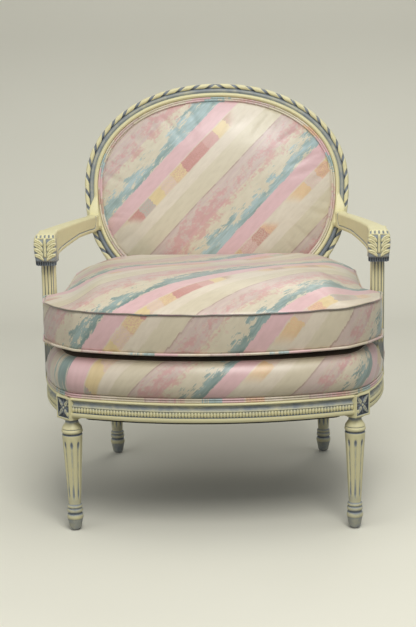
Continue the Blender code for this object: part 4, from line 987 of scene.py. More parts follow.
def turned_profile():
    """Height, radius, whether fluted, and glaze of a turned leg's rows, from the foot up."""
    rows = []

    def run(start, end, count, glaze_and_shade, fluted=False):
        for t in np.linspace(0, 1, count):
            height, radius = (a + (b - a) * t for a, b in zip(start, end))
            rows.append((height, radius, fluted, glaze_and_shade))

    def swell(low, high, edge, middle, glaze_and_shade):
        for t in np.linspace(0, 1, 12):
            bulge = math.sin(math.pi * t) ** 0.7
            rows.append((low + (high - low) * t, edge + (middle - edge) * bulge, False,
                         glaze_and_shade + 0.25 * (1 - bulge)))

    # Foot and its rings
    run((0.0028, 0.0098), (0.0042, 0.0114), 3, 0.5)
    run((0.0050, 0.0116), (0.0225, 0.0150), 8, 0.42)
    swell(0.0232, 0.0345, 0.0148, 0.0163, 0.24)
    run((0.0350, 0.0136), (0.0372, 0.0136), 3, 0.72)
    swell(0.0377, 0.0462, 0.0140, 0.0158, 0.28)
    run((0.0464, 0.0136), (0.0468, 0.0136), 2, 0.55)
    swell(0.0470, 0.0540, 0.0134, 0.0150, 0.30)
    run((0.0544, 0.0124), (0.0548, 0.0122), 2, 0.5)
    # Fluted taper and collar
    run((TAPER_FOOT, 0.0123), (TAPER_TOP, TAPER_TOP_RADIUS), 90, 0.0, True)
    run((0.2003, 0.0200), (0.2005, 0.0183), 2, 0.6)
    run((0.2010, 0.0182), (0.2032, 0.0182), 3, 0.85)
    swell(0.2036, 0.2118, 0.0190, 0.0212, 0.0)
    run((0.2124, 0.0186), (0.2130, 0.0186), 2, 0.55)
    # Neck, drawn in and flaring again under the block; its glaze rises towards the block: glaze in the hollow
    # and painted shade under the block
    for t in np.linspace(0, 1, 18):
        rows.append((0.2134 + 0.0148 * t, 0.0165 + 0.0036 * math.cos(math.pi * t**0.85), False, 0.55 * t * t))
    for t in np.linspace(0.1, 1, 8):
        rows.append((0.2282 + 0.0042 * t, 0.0129 + 0.0036 * t * t, False, 0.70 - 0.4 * t))
    run((0.2328, 0.0176), (0.2365, 0.0178), 3, 0.20)
    return np.array(rows, float).T[..., None]


def turned_leg(axis_x, axis_y, lean=0.0):
    """A fluted leg; lean moves the axis back by this much for each metre up."""
    z, radius, fluted, glaze_and_shade = turned_profile()
    each = 16
    step = np.arange(FLUTE_COUNT * each)
    angle = 2 * np.pi * step / len(step) - np.pi / 2
    share = ((step / each + 0.5) % 1.0) - 0.5
    ends = np.minimum(smooth(0.0625, 0.0760, z), smooth(0.1935, 0.1800, z)) * fluted
    hollow = rounded(share / (FLUTE_SHARE * (0.45 + 0.55 * ends) + 1e-6)) * ends
    reach = radius - FLUTE_DEEP * hollow * (radius / TAPER_TOP_RADIUS)
    x = axis_x + reach * np.cos(angle)
    y = axis_y + lean * np.minimum(z, LEG_TOP) + reach * np.sin(angle)
    rings = np.stack(np.broadcast_arrays(x, y, z), -1)
    low_wash = 0.30 * smooth(0.110, TAPER_FOOT, z) * fluted
    # Glaze in the flutes, much darker near their tops: painted shade under the collar
    in_flute = (0.36 + 0.6 * smooth(0.170, 0.186, z)) * hollow
    return loft(rings, np.maximum(glaze_and_shade, in_flute) + low_wash)


def relief_block(wide, tall, deep, field, columns, rows):
    """A block in its own frame whose front, at -deep / 2, is raised and sunk by a field."""
    xx, zz = np.meshgrid(np.linspace(-wide / 2, wide / 2, columns), np.linspace(0, tall, rows))
    height, glaze_and_shade = field(xx, zz)
    front = np.stack([xx, -deep / 2 - height, zz], -1).reshape(-1, 3)
    number = np.arange(rows * columns).reshape(rows, columns)
    border = np.concatenate([number[0], number[1:, -1], number[-1, -2::-1], number[-2:0:-1, 0]])
    rear = front[border] * (1, 0, 1) + (0, deep / 2, 0)
    start, count = len(front), len(border)
    rim = start + np.arange(count)
    walls = np.stack([border, np.roll(border, -1), np.roll(rim, -1), rim], -1).tolist()
    return (np.concatenate([front, rear]), grid(rows, columns) + walls + [rim.tolist()],
            np.concatenate([glaze_and_shade.ravel(), np.full(count, 0.05)]))


def turned_about(x, y, angle, lift=0.0):
    """A move that turns points about the upright and then carries them to a place."""
    c, s = math.cos(angle), math.sin(angle)
    turn = np.array(((c, s, 0), (-s, c, 0), (0, 0, 1)))
    return lambda points: points @ turn + (x, y, lift)


def leaf_panel(x, z):
    """Sunk panel with four leaves to its corners, four spears between them and a small boss."""
    half_x, half_z = FRONT_BLOCK / 2 - PANEL_FRAME, BLOCK_TALL / 2 - PANEL_FRAME
    z = z - BLOCK_TALL / 2
    a, b = np.abs(x) / half_x, np.abs(z) / half_z
    sunk = smooth(-0.0002, 0.0007, np.minimum((1 - a) * half_x, (1 - b) * half_z))

    along, off = (a + b) / 2, a - b
    width = 0.40 * np.sin(np.pi * np.clip(along * 1.02, 0, 1) ** 0.72) + 1e-4
    body = rounded(off / width) * smooth(0.06, 0.20, along) * smooth(1.0, 0.90, along)
    rib = np.exp(-((off / 0.045) ** 2)) * (body > 0.05)
    veins = 0.5 + 0.5 * np.cos(24 * (along - 0.55 * np.abs(off)))
    leaf = body * (0.80 + 0.20 * veins) - 0.30 * rib

    along, off = np.maximum(a, b), np.minimum(a, b)
    width = 0.16 * np.sin(np.pi * np.clip(along, 0, 1) ** 0.9) + 1e-4
    spear = np.sqrt(np.clip(1 - off / width, 0, 1)) * smooth(0.25, 0.40, along) * smooth(0.96, 0.84, along)
    boss = rounded(np.hypot(x, z) / BOSS_RADIUS)
    carved = np.maximum(np.maximum(leaf, 0.55 * spear), 1.05 * boss)

    edge = np.minimum(FRONT_BLOCK / 2 - np.abs(x), BLOCK_TALL / 2 - np.abs(z))
    eased = 0.0007 * (1 - smooth(0.0, 0.0010, edge))
    height = (LEAF_HIGH * carved - PANEL_DEEP) * sunk - eased
    glaze_and_shade = sunk * np.clip(1.08 - carved + 0.16 * veins * (carved > 0.2), 0.22, 1)
    return height, glaze_and_shade


def eased_ring(half_x, half_y, ease, radius, count):
    """A rectangle whose corners are quarter circles about centres set in by ease."""
    ring = []
    for quarter, (sx, sy) in enumerate(((1, 1), (-1, 1), (-1, -1), (1, -1))):
        a = np.linspace(0, np.pi / 2, count) + quarter * np.pi / 2
        ring.append(np.stack([sx * (half_x - ease) + radius * np.cos(a),
                              sy * (half_y - ease) + radius * np.sin(a)], -1))
    return np.concatenate(ring)


def rear_block(side):
    """Plain block of a rear leg, with eased corners and edges."""
    ease, tight, half = 0.0016, 0.00048, REAR_BLOCK / 2
    rows = [(LEG_TOP, 2 * ease, tight), (LEG_TOP, 0, tight), (LEG_TOP + ease, 0, ease),
            (TONGUE_TOP - ease, 0, ease), (TONGUE_TOP, 0, tight), (TONGUE_TOP, 2 * ease, tight)]
    middle = (side * REAR_LEG_HALF, REAR_BLOCK_Y)
    return loft([at_height(middle + eased_ring(half - inset, half - inset, ease, radius, 5), z)
                 for z, inset, radius in rows], 0.06)


def rear_stile(side):
    """Raked stile from the rear block up into the oval frame."""
    start_z = TONGUE_TOP - 0.012
    start_y = REAR_BLOCK_Y + (start_z - (LEG_TOP + TONGUE_TOP) / 2) * math.tan(BACK_RAKE)
    ease = 0.003
    across, deep = eased_ring(STILE_WIDE / 2, STILE_DEEP / 2, ease, ease, 6).T
    across = across + REAR_LEG_HALF
    low = np.stack(np.broadcast_arrays(across, start_y + deep, start_z), -1)
    lower_oval = oval(np.linspace(-np.pi / 2, 0, 2001), BACK_FACE / 2)
    up = np.interp(across, *lower_oval.T)
    high = back_point(across, up, LEDGE_FRONT - 0.56 * deep - 0.006)
    return loft([(low * (1 - t) + high * t) * (side, 1, 1) for t in np.linspace(0, 1, 14)], 0.08)


def glide(name, x, y):
    top = GLIDE_TALL + SHANK_LONG
    rows = [(0.0, 0.0002), (0.0, 0.0062), (0.0006, 0.0074), (0.0014, GLIDE_RADIUS),
            (GLIDE_TALL, GLIDE_RADIUS), (GLIDE_TALL, SHANK_RADIUS), (top, SHANK_RADIUS), (top, 0.0002)]
    a = 2 * np.pi * np.arange(32) / 32
    turn = np.stack([np.cos(a), np.sin(a)], -1)
    rings = [at_height((x, y) + turn * radius, z) for z, radius in rows]
    place_piece(new_piece(f"{name}_domed", loft(rings), STEEL), "spring_steel", name)


def legs():
    panel = relief_block(FRONT_BLOCK, BLOCK_TALL, FRONT_BLOCK, leaf_panel, 84, 92)
    lean = (REAR_BLOCK_Y - REAR_FOOT_Y) / LEG_TOP
    for word, side in (("left", -1), ("right", 1)):
        x = side * FRONT_LEG_HALF
        block = moved_shell(panel, turned_about(x, 0.0, side * BLOCK_TURN, LEG_TOP))
        painted(f"turned_front_{word}_leg", joined(turned_leg(x, 0.0), block), f"front_{word}_leg", sharp=50)
        glide(f"front_{word}_glide", x, 0.0)
        x = side * REAR_LEG_HALF
        whole = joined(turned_leg(x, REAR_FOOT_Y, lean), rear_block(side), rear_stile(side))
        painted(f"turned_rear_{word}_leg", whole, f"rear_{word}_leg", sharp=50)
        glide(f"rear_{word}_glide", x, REAR_FOOT_Y)


# Oval back frame

def back_moulding():
    """Frame of the back as (inset, forward, glaze), from its rear round the front to the ledge."""
    front, rear = BACK_HALF, -BACK_HALF
    cove, bead, ledge = ROPE_WIDE + 0.0006, ROPE_WIDE + BACK_COVE_WIDE, BACK_FACE + LEDGE_WIDE
    return np.concatenate([
        straight((0.0030, rear), (0.0012, rear + 0.0006), 3, 0.1),
        straight((0.0003, rear + 0.0025), (0.0003, front - 0.0090), 5, 0.05),
        straight((0.0010, front - 0.0070), (ROPE_WIDE - 0.0006, front - 0.0070), 4, 1.0),
        straight((ROPE_WIDE, front - 0.0058), (cove, front - 0.0056), 2, 0.7),
        bowed((cove + 0.0004, front - 0.0060), (bead - 0.0008, front - 0.0052), -0.0030, 14, 0.56, 0.44),
        straight((bead - 0.0004, front - 0.0050), (bead, front - 0.0044), 2, 0.34),
        bowed((bead + 0.0002, front - 0.0040), (BACK_FACE - 0.0002, front - 0.0036), -0.0036, 14, 0.12, 0.0),
        straight((BACK_FACE, front - 0.0050), (BACK_FACE, LEDGE_FRONT), 3, 0.2),
        straight((ledge, LEDGE_FRONT), (ledge, LEDGE_REAR), 2, 0.1),
        straight((BACK_FACE, LEDGE_REAR), (BACK_FACE, rear + 0.0012), 2, 0.1),
        straight((BACK_FACE - 0.0012, rear), (0.0040, rear), 5, 0.0)])


def back_frame():
    section = back_moulding()
    tone = section[:, 2]
    for name, start, end in (("back_crest_rail", 5, 15), ("back_left_stile", 15, 27),
                             ("back_bottom_rail", 27, 33), ("back_right_stile", -7, 5)):
        angles = np.linspace(start * OVAL_STEP, end * OVAL_STEP, (end - start) * 10 + 1)
        rings = oval_swept(section[:, :2], angles)
        up = rings[:, :1, 2] - OVAL_CENTRE_Z
        # The frame's lower part takes more glaze, so it is darker towards the bottom
        glaze_and_shade = tone + 0.14 * smooth(-0.085, -0.13, up) * (tone > 0.01)
        painted(f"moulded_{name}", loft(rings, glaze_and_shade), name)
    angles = even_oval(1400, ROPE_WIDE / 2)
    angles = np.append(angles, angles[0] + 2 * np.pi - 1e-4)
    path = oval_path(angles, ROPE_WIDE / 2, BACK_HALF - ROPE_SUNK)
    rope = run_along("back_rope_moulding", ROPE, [path], PAINT, Radius=ROPE_RADIUS, Twist=TWIST_LONG,
                     Middle=float(run_of(path)[-1]) / 2)
    place_piece(rope, "painted_wood")


# Arms and posts

def frame_at(z, inset, forward):
    """A point on the right of the back frame's lower half at this height."""
    up = (z - OVAL_CENTRE_Z) / math.cos(BACK_RAKE)
    angle = np.arcsin(np.clip(-np.abs(up / OVAL_DOWN) ** (OVAL_POWER / 2), -1, 1))
    return back_point(oval(angle, inset)[..., 0], up, forward)


def arm_template():
    """Round the bar from its lower outer edge: shares of its width and height, and corner offsets."""
    a = np.linspace(0, np.pi / 2, 6)[1:-1]
    quarter = np.stack([np.cos(a), np.sin(a)], -1)
    rows = []
    for side in (1, -1):
        at = (1 - side) / 2
        rows += [(side, side, t, 0) for t in np.linspace(at, 1 - at, 44)]
        rows += [(side, side * c, 1 - at, side * s) for c, s in quarter]
        rows += [(c, 0, 1 - at, side) for c in np.linspace(side, -side, 16)]
        rows += [(-side, -side * c, 1 - at, side * s) for c, s in quarter[::-1]]
    return np.array(rows).T


def arm_bar():
    """Right arm's bar from inside the handhold to inside the back frame."""
    end_x, end_y, _ = frame_at(ARM_TOP - ARM_DROP - ARM_TALL * 0.4, 0.0150, 0.0)
    y = np.linspace(HANDHOLD_REAR - 0.014, end_y, 230)[:, None]
    back = y - HANDHOLD_REAR
    share = np.clip(back / (end_y - 0.060 - HANDHOLD_REAR), 0, 1)
    turn_in = smooth(end_y - 0.085, end_y, y)
    x = POST_CENTRE[0] + (end_x + ARM_BEND - POST_CENTRE[0]) * share**1.3 - ARM_BEND * turn_in
    half = (ARM_WIDE_FRONT + (ARM_WIDE_REAR - ARM_WIDE_FRONT) * share) / 2
    top = ARM_TOP - ARM_DROP * share - 0.001
    deeper = ARM_DEEPER * np.maximum(1 - back / ARM_DEEPER_LONG, -0.25)
    low = top - ARM_TALL - deeper - 0.005 * np.exp(-np.clip(back, 0, 1) / 0.008)

    wide_share, wide_ease, tall_share, tall_ease = arm_template()
    across = wide_share * (half - ARM_SOFT) + wide_ease * ARM_SOFT
    high = ARM_SOFT + tall_share * (top - low - 2 * ARM_SOFT) + tall_ease * ARM_SOFT
    high = high + ARM_CROWN * (tall_ease > 0.9) * (1 - (across / half) ** 2)
    on_side, outwards = np.abs(wide_ease) > 0.5, np.sign(wide_ease)

    # A sunk line along the lower edge turns up before the frame; beyond it the edge stands out
    over = ARM_BEAD_TALL + ARM_LINE_TURN - high
    past = 0.007 + ARM_LINE_TURN - (end_y - 0.036 - y)
    line = (np.hypot(np.maximum(over, 0), np.maximum(past, 0)) + np.minimum(np.maximum(over, past), 0)
            - ARM_LINE_TURN)
    sunk = np.exp(-((line / 0.0009) ** 2))
    stands = smooth(-0.0002, 0.0010, line)
    slit = np.exp(-(((back - 0.0035) / 0.0018) ** 2)) * smooth(0.040, 0.030, high) * on_side
    across = across + outwards * ((ARM_BEAD_OUT * stands - 0.0013 * sunk) * on_side - 0.0020 * slit)
    rings = np.stack(np.broadcast_arrays(x + across, y, low + high), -1)
    return loft(rings, np.maximum(0.62 * np.exp(-((line / 0.0012) ** 2)) * on_side, slit))


def arm_band():
    """Upright lap of the right arm on the frame, running out into the frame's bead above it."""
    rear_top = ARM_TOP - ARM_DROP
    low = rear_top - ARM_TALL - 0.001
    z = np.linspace(low, rear_top + 0.052, 60)[:, None]
    grown = smooth(rear_top + 0.046, rear_top - 0.004, z)
    heel = np.sqrt(np.clip((z - low + 0.0006) / 0.010, 0, 1))
    outer = 0.0225 - 0.0175 * grown
    inner = BACK_FACE - 0.0002 - 0.006 * (1 - heel)
    ahead = BACK_HALF - 0.0022 + 0.0105 * grown * heel
    behind = -0.004
    a = np.linspace(0, 2 * np.pi, 40, endpoint=False)
    across, deep = (np.sign(part) * np.abs(part) ** 0.28 for part in (np.cos(a), np.sin(a)))
    inset = (outer + inner) / 2 + (inner - outer) / 2 * across
    forward = (ahead + behind) / 2 + (ahead - behind) / 2 * deep
    return loft(frame_at(np.broadcast_to(z, inset.shape), inset, forward), 0.0)


def draped_leaf(across, down):
    """Height and glaze of a handhold's front: hollows along its top edge, then lobes rising from a rib."""
    side = np.abs(across)
    rib_half = 0.105 + 0.040 * down
    rib = rounded(across / rib_half) * between(down, 0.27, 0.90, 0.03)
    lobes = np.zeros_like(across)
    t = np.clip((side - 0.13) / 0.85, 0, 1.05)
    for root, tip, wide in ((1.02, 0.84, 0.085), (0.88, 0.64, 0.098), (0.70, 0.46, 0.098),
                            (0.52, 0.33, 0.080)):
        middle = root + (tip - root) * t**0.85 - 0.035 * np.sin(np.pi * t)
        half = wide * (0.55 + 0.45 * np.sin(np.pi * np.clip(t, 0.02, 1) ** 0.8)) + 1e-4
        off = (down - middle) / half
        body = rounded(off) * smooth(0.12, 0.20, side) * smooth(1.05, 0.96, t)
        slit = 0.75 * np.exp(-((off / 0.17) ** 2)) * between(t, 0.30, 0.90, 0.08)
        lobes = np.maximum(lobes, body * (0.75 + 0.35 * t) - slit * (body > 0.3))
    hollow = np.clip(np.cos(np.pi * 5 * across) * 1.5, 0, 1) * between(down, 0.06, 0.24, 0.04)
    edge = 0.80 * between(down, 0.02, 0.27, 0.02) * (1 - hollow)
    carved = np.maximum(np.maximum(lobes, 1.15 * rib), edge)
    leaf = smooth(-0.01, 0.02, down)
    height = (HANDHOLD_LEAF_HIGH * carved - HANDHOLD_LEAF_SUNK) * leaf
    beside = between(side, rib_half, rib_half + 0.05, 0.02) * between(down, 0.30, 0.92, 0.03)
    glaze_and_shade = np.maximum(np.clip(0.50 - 0.62 * carved, 0, 1), np.maximum(0.62 * hollow, 0.70 * beside))
    return height, np.where(rib > 0.25, 0.0, glaze_and_shade) * leaf


def handhold():
    """Carved front of the right arm: leaves draped over its nose, and a short reeded cap below."""
    front, rear, low = HANDHOLD_FRONT, HANDHOLD_REAR, HANDHOLD_LOW
    face_low = low + CAP_TALL
    cap_y = front + CAP_SETBACK
    nose = np.linspace(0, np.pi / 2, 26)[1:]
    chin = np.linspace(0, np.pi / 2, 8)[1:]
    stretches = [
        ("top", np.linspace(rear, front + NOSE_RADIUS, 30), ARM_TOP),
        ("leaf", front + NOSE_RADIUS * (1 - np.sin(nose)), ARM_TOP - NOSE_RADIUS * (1 - np.cos(nose))),
        ("leaf", front, np.linspace(ARM_TOP - NOSE_RADIUS, face_low, 35)[1:]),
        ("chin", front + CHIN_RADIUS * (1 - np.cos(chin)), face_low - CHIN_RADIUS * np.sin(chin)),
        ("cap", cap_y, np.linspace(face_low - CHIN_RADIUS - 0.0005, low, 10)),
        ("under", np.linspace(cap_y + 0.003, rear, 12), low),
        ("rear", rear, np.linspace(low + 0.006, ARM_TOP - 0.004, 8))]
    runs = [np.stack(np.broadcast_arrays(y, z), -1) for _, y, z in stretches]
    ring = np.concatenate(runs)
    kind = np.concatenate([[word] * len(points) for (word, _, _), points in zip(stretches, runs)])
    run = run_of(ring)
    leaf_from, leaf_to = run[kind == "top"][-1], run[kind == "leaf"][-1]
    along = np.roll(ring, -1, 0) - np.roll(ring, 1, 0)
    normal = np.stack([along[:, 1], -along[:, 0]], -1)
    normal /= np.linalg.norm(normal, axis=1)[:, None] + 1e-12
    normal *= np.sign(normal[0, 1])

    down = (run - leaf_from) / (leaf_to - leaf_from)
    across, down = np.meshgrid(np.linspace(-1, 1, 109), down, indexing="ij")
    carved, dark = draped_leaf(across, down)
    gap = 1 - np.abs(np.sin(np.pi * CAP_REEDS * across))
    places = [np.isin(kind, ("top", "leaf", "chin")), kind == "cap", kind == "under"]
    # The cap and the underside are dark all over, darkest in the cap's reeds: glaze in those hollows, and
    # painted shade under the nose
    carved = np.select(places, [carved, -0.0012 * gap, 0.0], 0.0)
    dark = np.select(places, [dark, 0.58 + 0.4 * gap, 0.5], 0.0)

    half = HANDHOLD_WIDE / 2
    edge = np.clip((1 - np.abs(across)) * half / HANDHOLD_EASE, 0, 1)
    pull = HANDHOLD_EASE * (1 - rounded(1 - edge))
    shown = np.clip(down, 0, 1)
    barrel = np.select(places, [0.89 + 0.06 * shown + 0.14 * np.sin(np.pi * shown), 0.96, 0.88], 0.88)
    yz = ring + normal * (carved - pull)[..., None]
    rings = np.stack([POST_CENTRE[0] + across * half * barrel, yz[..., 0], yz[..., 1]], -1)
    return loft(rings, np.clip(dark, 0, 1))


def arm_post():
    """Reeded post with a leaf at its foot, in its own frame."""
    half = POST_SIDE / 2
    t = np.linspace(-1, 1, 40, endpoint=False)
    z = np.concatenate([np.linspace(RAIL_TOP, RAIL_TOP + POST_FOOT, 60)[:-1],
                        np.linspace(RAIL_TOP + POST_FOOT, HANDHOLD_LOW + 0.003, 60)])[:, None]
    groove = 1 - rounded(0.985 * (((t + 1) / 2 * REEDS) % 1 * 2 - 1))
    foot = (z - RAIL_TOP) / POST_FOOT
    reeded = smooth(1.02, 1.22, foot)
    leaf_half = np.clip(0.96 * (1 - np.clip((foot - 0.18) / 0.80, 0, 1) ** 1.5), 0, 1) + 1e-4
    leaf = rounded(t / leaf_half) * (foot < 0.99)
    fans = 0.5 + 0.5 * np.cos(2 * np.pi * (foot * 5.5 - 1.5 * np.abs(t)))
    rib = np.exp(-((t / 0.09) ** 2))
    carved = np.clip(leaf * (0.55 + 0.45 * fans + 0.35 * rib), 0, 1.2)
    on_foot = (1 - reeded) * (1 - smooth(0.06, 0.03, foot))
    sunk = on_foot * POST_LEAF_DEEP * (1 - carved) + reeded * REED_DEEP * groove
    dark = on_foot * np.clip(0.45 - 0.6 * carved, 0, 1) + reeded * smooth(0.24, 0.60, groove)
    # Painted shade: the post darkens towards its top, under the handhold's cap
    dark = np.clip(dark + 0.35 * smooth(HANDHOLD_LOW - 0.030, HANDHOLD_LOW, z), 0, 1)
    face = np.stack(np.broadcast_arrays(half * t, sunk - half, z), -1)
    faces = [turned_about(0, 0, quarter * np.pi / 2)(face) for quarter in range(4)]
    return loft(np.concatenate(faces, 1), np.tile(dark, 4))


def arms():
    arm = joined(arm_bar(), arm_band(), handhold())
    post = arm_post()
    for word, side in (("left", -1), ("right", 1)):
        own = moved_shell(arm, lambda points: points * (side, 1, 1))
        painted(f"carved_{word}_arm", own, f"{word}_arm", sharp=55)
        turned = turned_about(side * POST_CENTRE[0], POST_CENTRE[1], side * POST_TURN)
        painted(f"reeded_{word}_post", moved_shell(post, turned), f"{word}_arm_post", sharp=60)


# Padding

def swollen(obj, held, cap):
    """Points of an even pad blown up as cloth with its seams held, none moved further than cap."""
    before = values_of(obj.data.vertices, "co", 3)
    seams = obj.vertex_groups.new(name="seams")
    seams.add(np.flatnonzero(held).tolist(), 1.0, "REPLACE")
    cloth = obj.modifiers.new("padding", "CLOTH")
    for key, value in (("quality", 5), ("mass", 0.3), ("tension_stiffness", 12),
                       ("compression_stiffness", 12), ("shear_stiffness", 5), ("bending_stiffness", 0.6),
                       ("use_pressure", True), ("uniform_pressure_force", 4.0),
                       ("vertex_group_mass", seams.name)):
        setattr(cloth.settings, key, value)
    cloth.settings.effector_weights.gravity = 0
    cloth.collision_settings.use_collision = False
    cloth.collision_settings.use_self_collision = False
    cloth.point_cache.frame_start = 1
    cloth.point_cache.frame_end = BLOWN_FRAMES
    scene = bpy.context.scene
    for number in range(1, BLOWN_FRAMES + 1):
        scene.frame_set(number)
    blown = obj.evaluated_get(bpy.context.evaluated_depsgraph_get())
    after = values_of(blown.to_mesh().vertices, "co", 3)
    blown.to_mesh_clear()
    obj.modifiers.remove(cloth)
    scene.frame_set(1)
    move = after - before
    length = np.linalg.norm(move, axis=1)[:, None] + 1e-12
    return before + move * np.minimum(1, cap / length)


def remade(obj, kind, **settings):
    """Give an object the mesh that a modifier makes of its own."""
    modifier = obj.modifiers.new(kind.lower(), kind)
    for key, value in settings.items():
        setattr(modifier, key, value)
    mesh = baked(obj)
    obj.modifiers.remove(modifier)
    obj.data = mesh


def even_pad(name, shell, voxel):
    """The form of a pad as an even mesh."""
    obj = new_piece(name, shell, FABRIC, sharp=180)
    bpy.context.scene.collection.objects.link(obj)
    remade(obj, "REMESH", mode="VOXEL", voxel_size=voxel)
    return obj


def cover(pad, points, lay, fabric):
    """Move a pad's points, divide it once, lay out its cloth and give it its fabric."""
    pad.data.vertices.foreach_set("co", points.ravel())
    remade(pad, "SUBSURF", levels=1, render_levels=1)
    lay(pad.data)
    pad.data.materials.clear()
    pad.data.materials.append(fabric)
    pad.data.shade_smooth()


def welt(node, word, cords, radius, fabric=CORD_FABRIC, closed=True, body="chair_frame"):
    """Cords sewn along lines, in place of a node."""
    cord = run_along(f"{word}_{node}", CORD, cords, fabric, closed, Radius=radius)
    place_piece(cord, "striped_fabric", node, body=body)


def dome(edge_inset, lip, crown, base, count):
    """A closed pad on the oval, from its flat base to its crowned face."""
    rim = oval(even_oval(count, edge_inset), edge_inset)
    rows = [(0.5, base), (1.0, base), (1.0, lip)]
    for t in np.concatenate([np.linspace(0.0, 0.14, 9)[1:], np.linspace(0.14, 0.98, 16)[1:]]):
        rows.append((1 - t, lip + crown * (1 - math.exp(-((t * PAD_HALF / PAD_EDGE_REACH) ** 0.85)))))
    return loft([back_point(*(rim * share).T, forward) for share, forward in rows])


def lay_back(mesh, way=1):
    across, up, _ = back_across_up(mesh)
    lay_cloth(mesh, stripes_at(way * across, up, "back"))


def back_upholstery():
    edge = BACK_FACE + 0.0003
    band = edge + BACK_WELT_WIDE
    form = dome(band - 0.0010, PAD_LIP + 0.001, PAD_CROWN, LEDGE_FRONT + 0.0020, 260)
    pad = even_pad("striped_back_pad", form, PAD_VOXEL)
    held = back_across_up(pad.data)[2] < PAD_LIP + 0.0015
    cover(pad, swollen(pad, held, PAD_CAP), lay_back, BACK_FABRIC)
    place_piece(pad, "striped_fabric", "back_pad")

    angles = even_oval(360, edge)
    low, high = LEDGE_FRONT + 0.0003, PAD_LIP + 0.0008
    tape = [(edge, low), (edge, high), (band + 0.004, high), (band + 0.004, low)]
    layout = np.repeat(stripes_at(*oval(angles, edge).T, "back"), len(tape), 0)
    shell = loft(oval_swept(tape, angles), closed=True)
    place_piece(new_piece("back_welt_tape", shell, BACK_FABRIC, layout), "striped_fabric")
    for forward, node in ((PAD_LIP + 0.0026, "back_front_welt"), (PANEL_BACK - 0.0016, "back_rear_welt")):
        cords = [oval_path(angles, edge + BACK_CORD * lane, forward) for lane in BACK_LANES]
        welt(node, "double", cords, BACK_CORD)

    form = dome(edge, PANEL_BACK, -PANEL_CROWN, LEDGE_REAR - 0.0004, 200)
    panel = new_piece("striped_outer_back", form, BACK_FABRIC, sharp=50)
    lay_back(panel.data, -1)
    place_piece(panel, "striped_fabric", "back_outer_panel")


# Seat

def seat_outline():
    """Closed line of the rails' outer faces with even steps, from the front's middle to the right."""
    front, side = front_line(201), side_line(201)
    loop = np.concatenate([front[100:], side, rear_line(81), mirrored(side), front[:100]])
    return softened(spaced(loop, OUTLINE_STEP, True), 0.008, OUTLINE_STEP)


def dent_round(loop, place, half, eased):
    """1 along the stretch of a loop that a post stands in, easing to 0."""
    near = np.argmin(np.linalg.norm(loop - place, axis=1))
    run, whole = run_round(loop)
    away = np.abs(run - run[near])
    return 1 - smooth(half, half + eased, np.minimum(away, whole - away))


def deck_dents(loop, eased):
    """How far the deck draws back from the arm posts and the stiles."""
    deep = np.zeros(len(loop))
    for side in (-1, 1):
        post = (side * (POST_CENTRE[0] + POST_SIDE / 2), POST_Y)
        stile = (side * (REAR_LEG_HALF + REAR_BLOCK / 2), REAR_BLOCK_Y + REAR_BLOCK / 2)
        deep = np.maximum(deep, POST_DENT * dent_round(loop, post, POST_SIDE / 2 + 0.004, eased))
        deep = np.maximum(deep, STILE_DENT * dent_round(loop, stile, 0.036, eased + 0.008))
    return deep


def seat_deck():
    loop = seat_outline()
    out = outward(loop, True)
    dent, wide_dent = deck_dents(loop, 0.014), deck_dents(loop, 0.040)
    rim_z = DECK_TOP - DECK_RIM

    # Skirt inside the welts, then the roll: distance out from the rails' faces, and height
    rows = [(-0.0078, TONGUE_TOP + 0.0004), (-0.0076, DECK_SKIRT), (-0.0030, DECK_SKIRT)]
    bulge = DECK_BULGE + DECK_FRONT_BULGE * smooth(0.06, -0.02, loop[:, 1])
    turn = np.linspace(0.04, 1, 34)
    for t in np.concatenate([turn[turn < 0.55], 1 - 0.45 * (1 - np.linspace(0, 1, 18)) ** 2]):
        over = max(0.0, (t - 0.40) / 0.60)
        swell = math.sin(math.pi * min(t / 0.8, 0.5)) ** 0.7
        rolled = DECK_ROLL * (1 - rounded(over)) + (wide_dent - dent) * over
        rows.append((bulge * swell - 0.0024 - rolled, DECK_SKIRT + (rim_z - DECK_SKIRT) * t))
    rings = [at_height(loop + out * (reach - dent)[:, None], z) for reach, z in rows]
    cloth = run_of(np.array([(np.mean(reach), z) for reach, z in rows]))

    # Top, rising to its middle
    shares = np.array((0.93, 0.86, 0.80, 0.62, 0.42, 0.22, 0.02))
    for share in shares:
        rim = loop - out * (DECK_ROLL + wide_dent * smooth(0.50, 1.0, share))[:, None]
        rings.append(at_height(SEAT_MIDDLE + (rim - SEAT_MIDDLE) * share,
                               rim_z + (DECK_CROWN + DECK_RIM) * (1 - share**4)))
    cloth = np.append(cloth, cloth[-1] + (1 - shares) * DECK_SLOPE_LONG)

    # Underside, hollow over the springs
    inner = loop - out * (0.040 + dent)[:, None]
    under = [at_height(SEAT_MIDDLE + (inner - SEAT_MIDDLE) * share, TONGUE_TOP + high)
             for share, high in ((0.05, 0.047), (0.92, 0.045), (1.0, 0.0004))]

    # Round the left front corner the stripes stand almost upright
    run, _ = run_round(loop)
    start, full, fading, end = UPRIGHT_STRETCH
    lean = 1 - 0.85 * smooth(start, full, run) * smooth(end, fading, run)
    layout = [np.zeros((len(under) * len(loop), 2))]
    layout += [stripes_at(run, DECK_LEVEL + (up - DECK_LEVEL) * lean, "deck") for up in cloth]
    deck = new_piece("padded_seat_deck", loft(under + rings), FABRIC, np.concatenate(layout), sharp=60)
    close_seam(deck.data)
    # From just inside the rolled rim the top takes the dark platform cloth, which also paints the shade in
    # the crevice under the cushion's front
    deck.data.materials.append(PLATFORM_AND_SHADE)
    on_top = values_of(deck.data.polygons, "center", 3)[:, 2] > rim_z - 0.0003
    deck.data.polygons.foreach_set("material_index", on_top.astype(np.int32))
    place_piece(deck, "deck_fabric", "seat_deck")


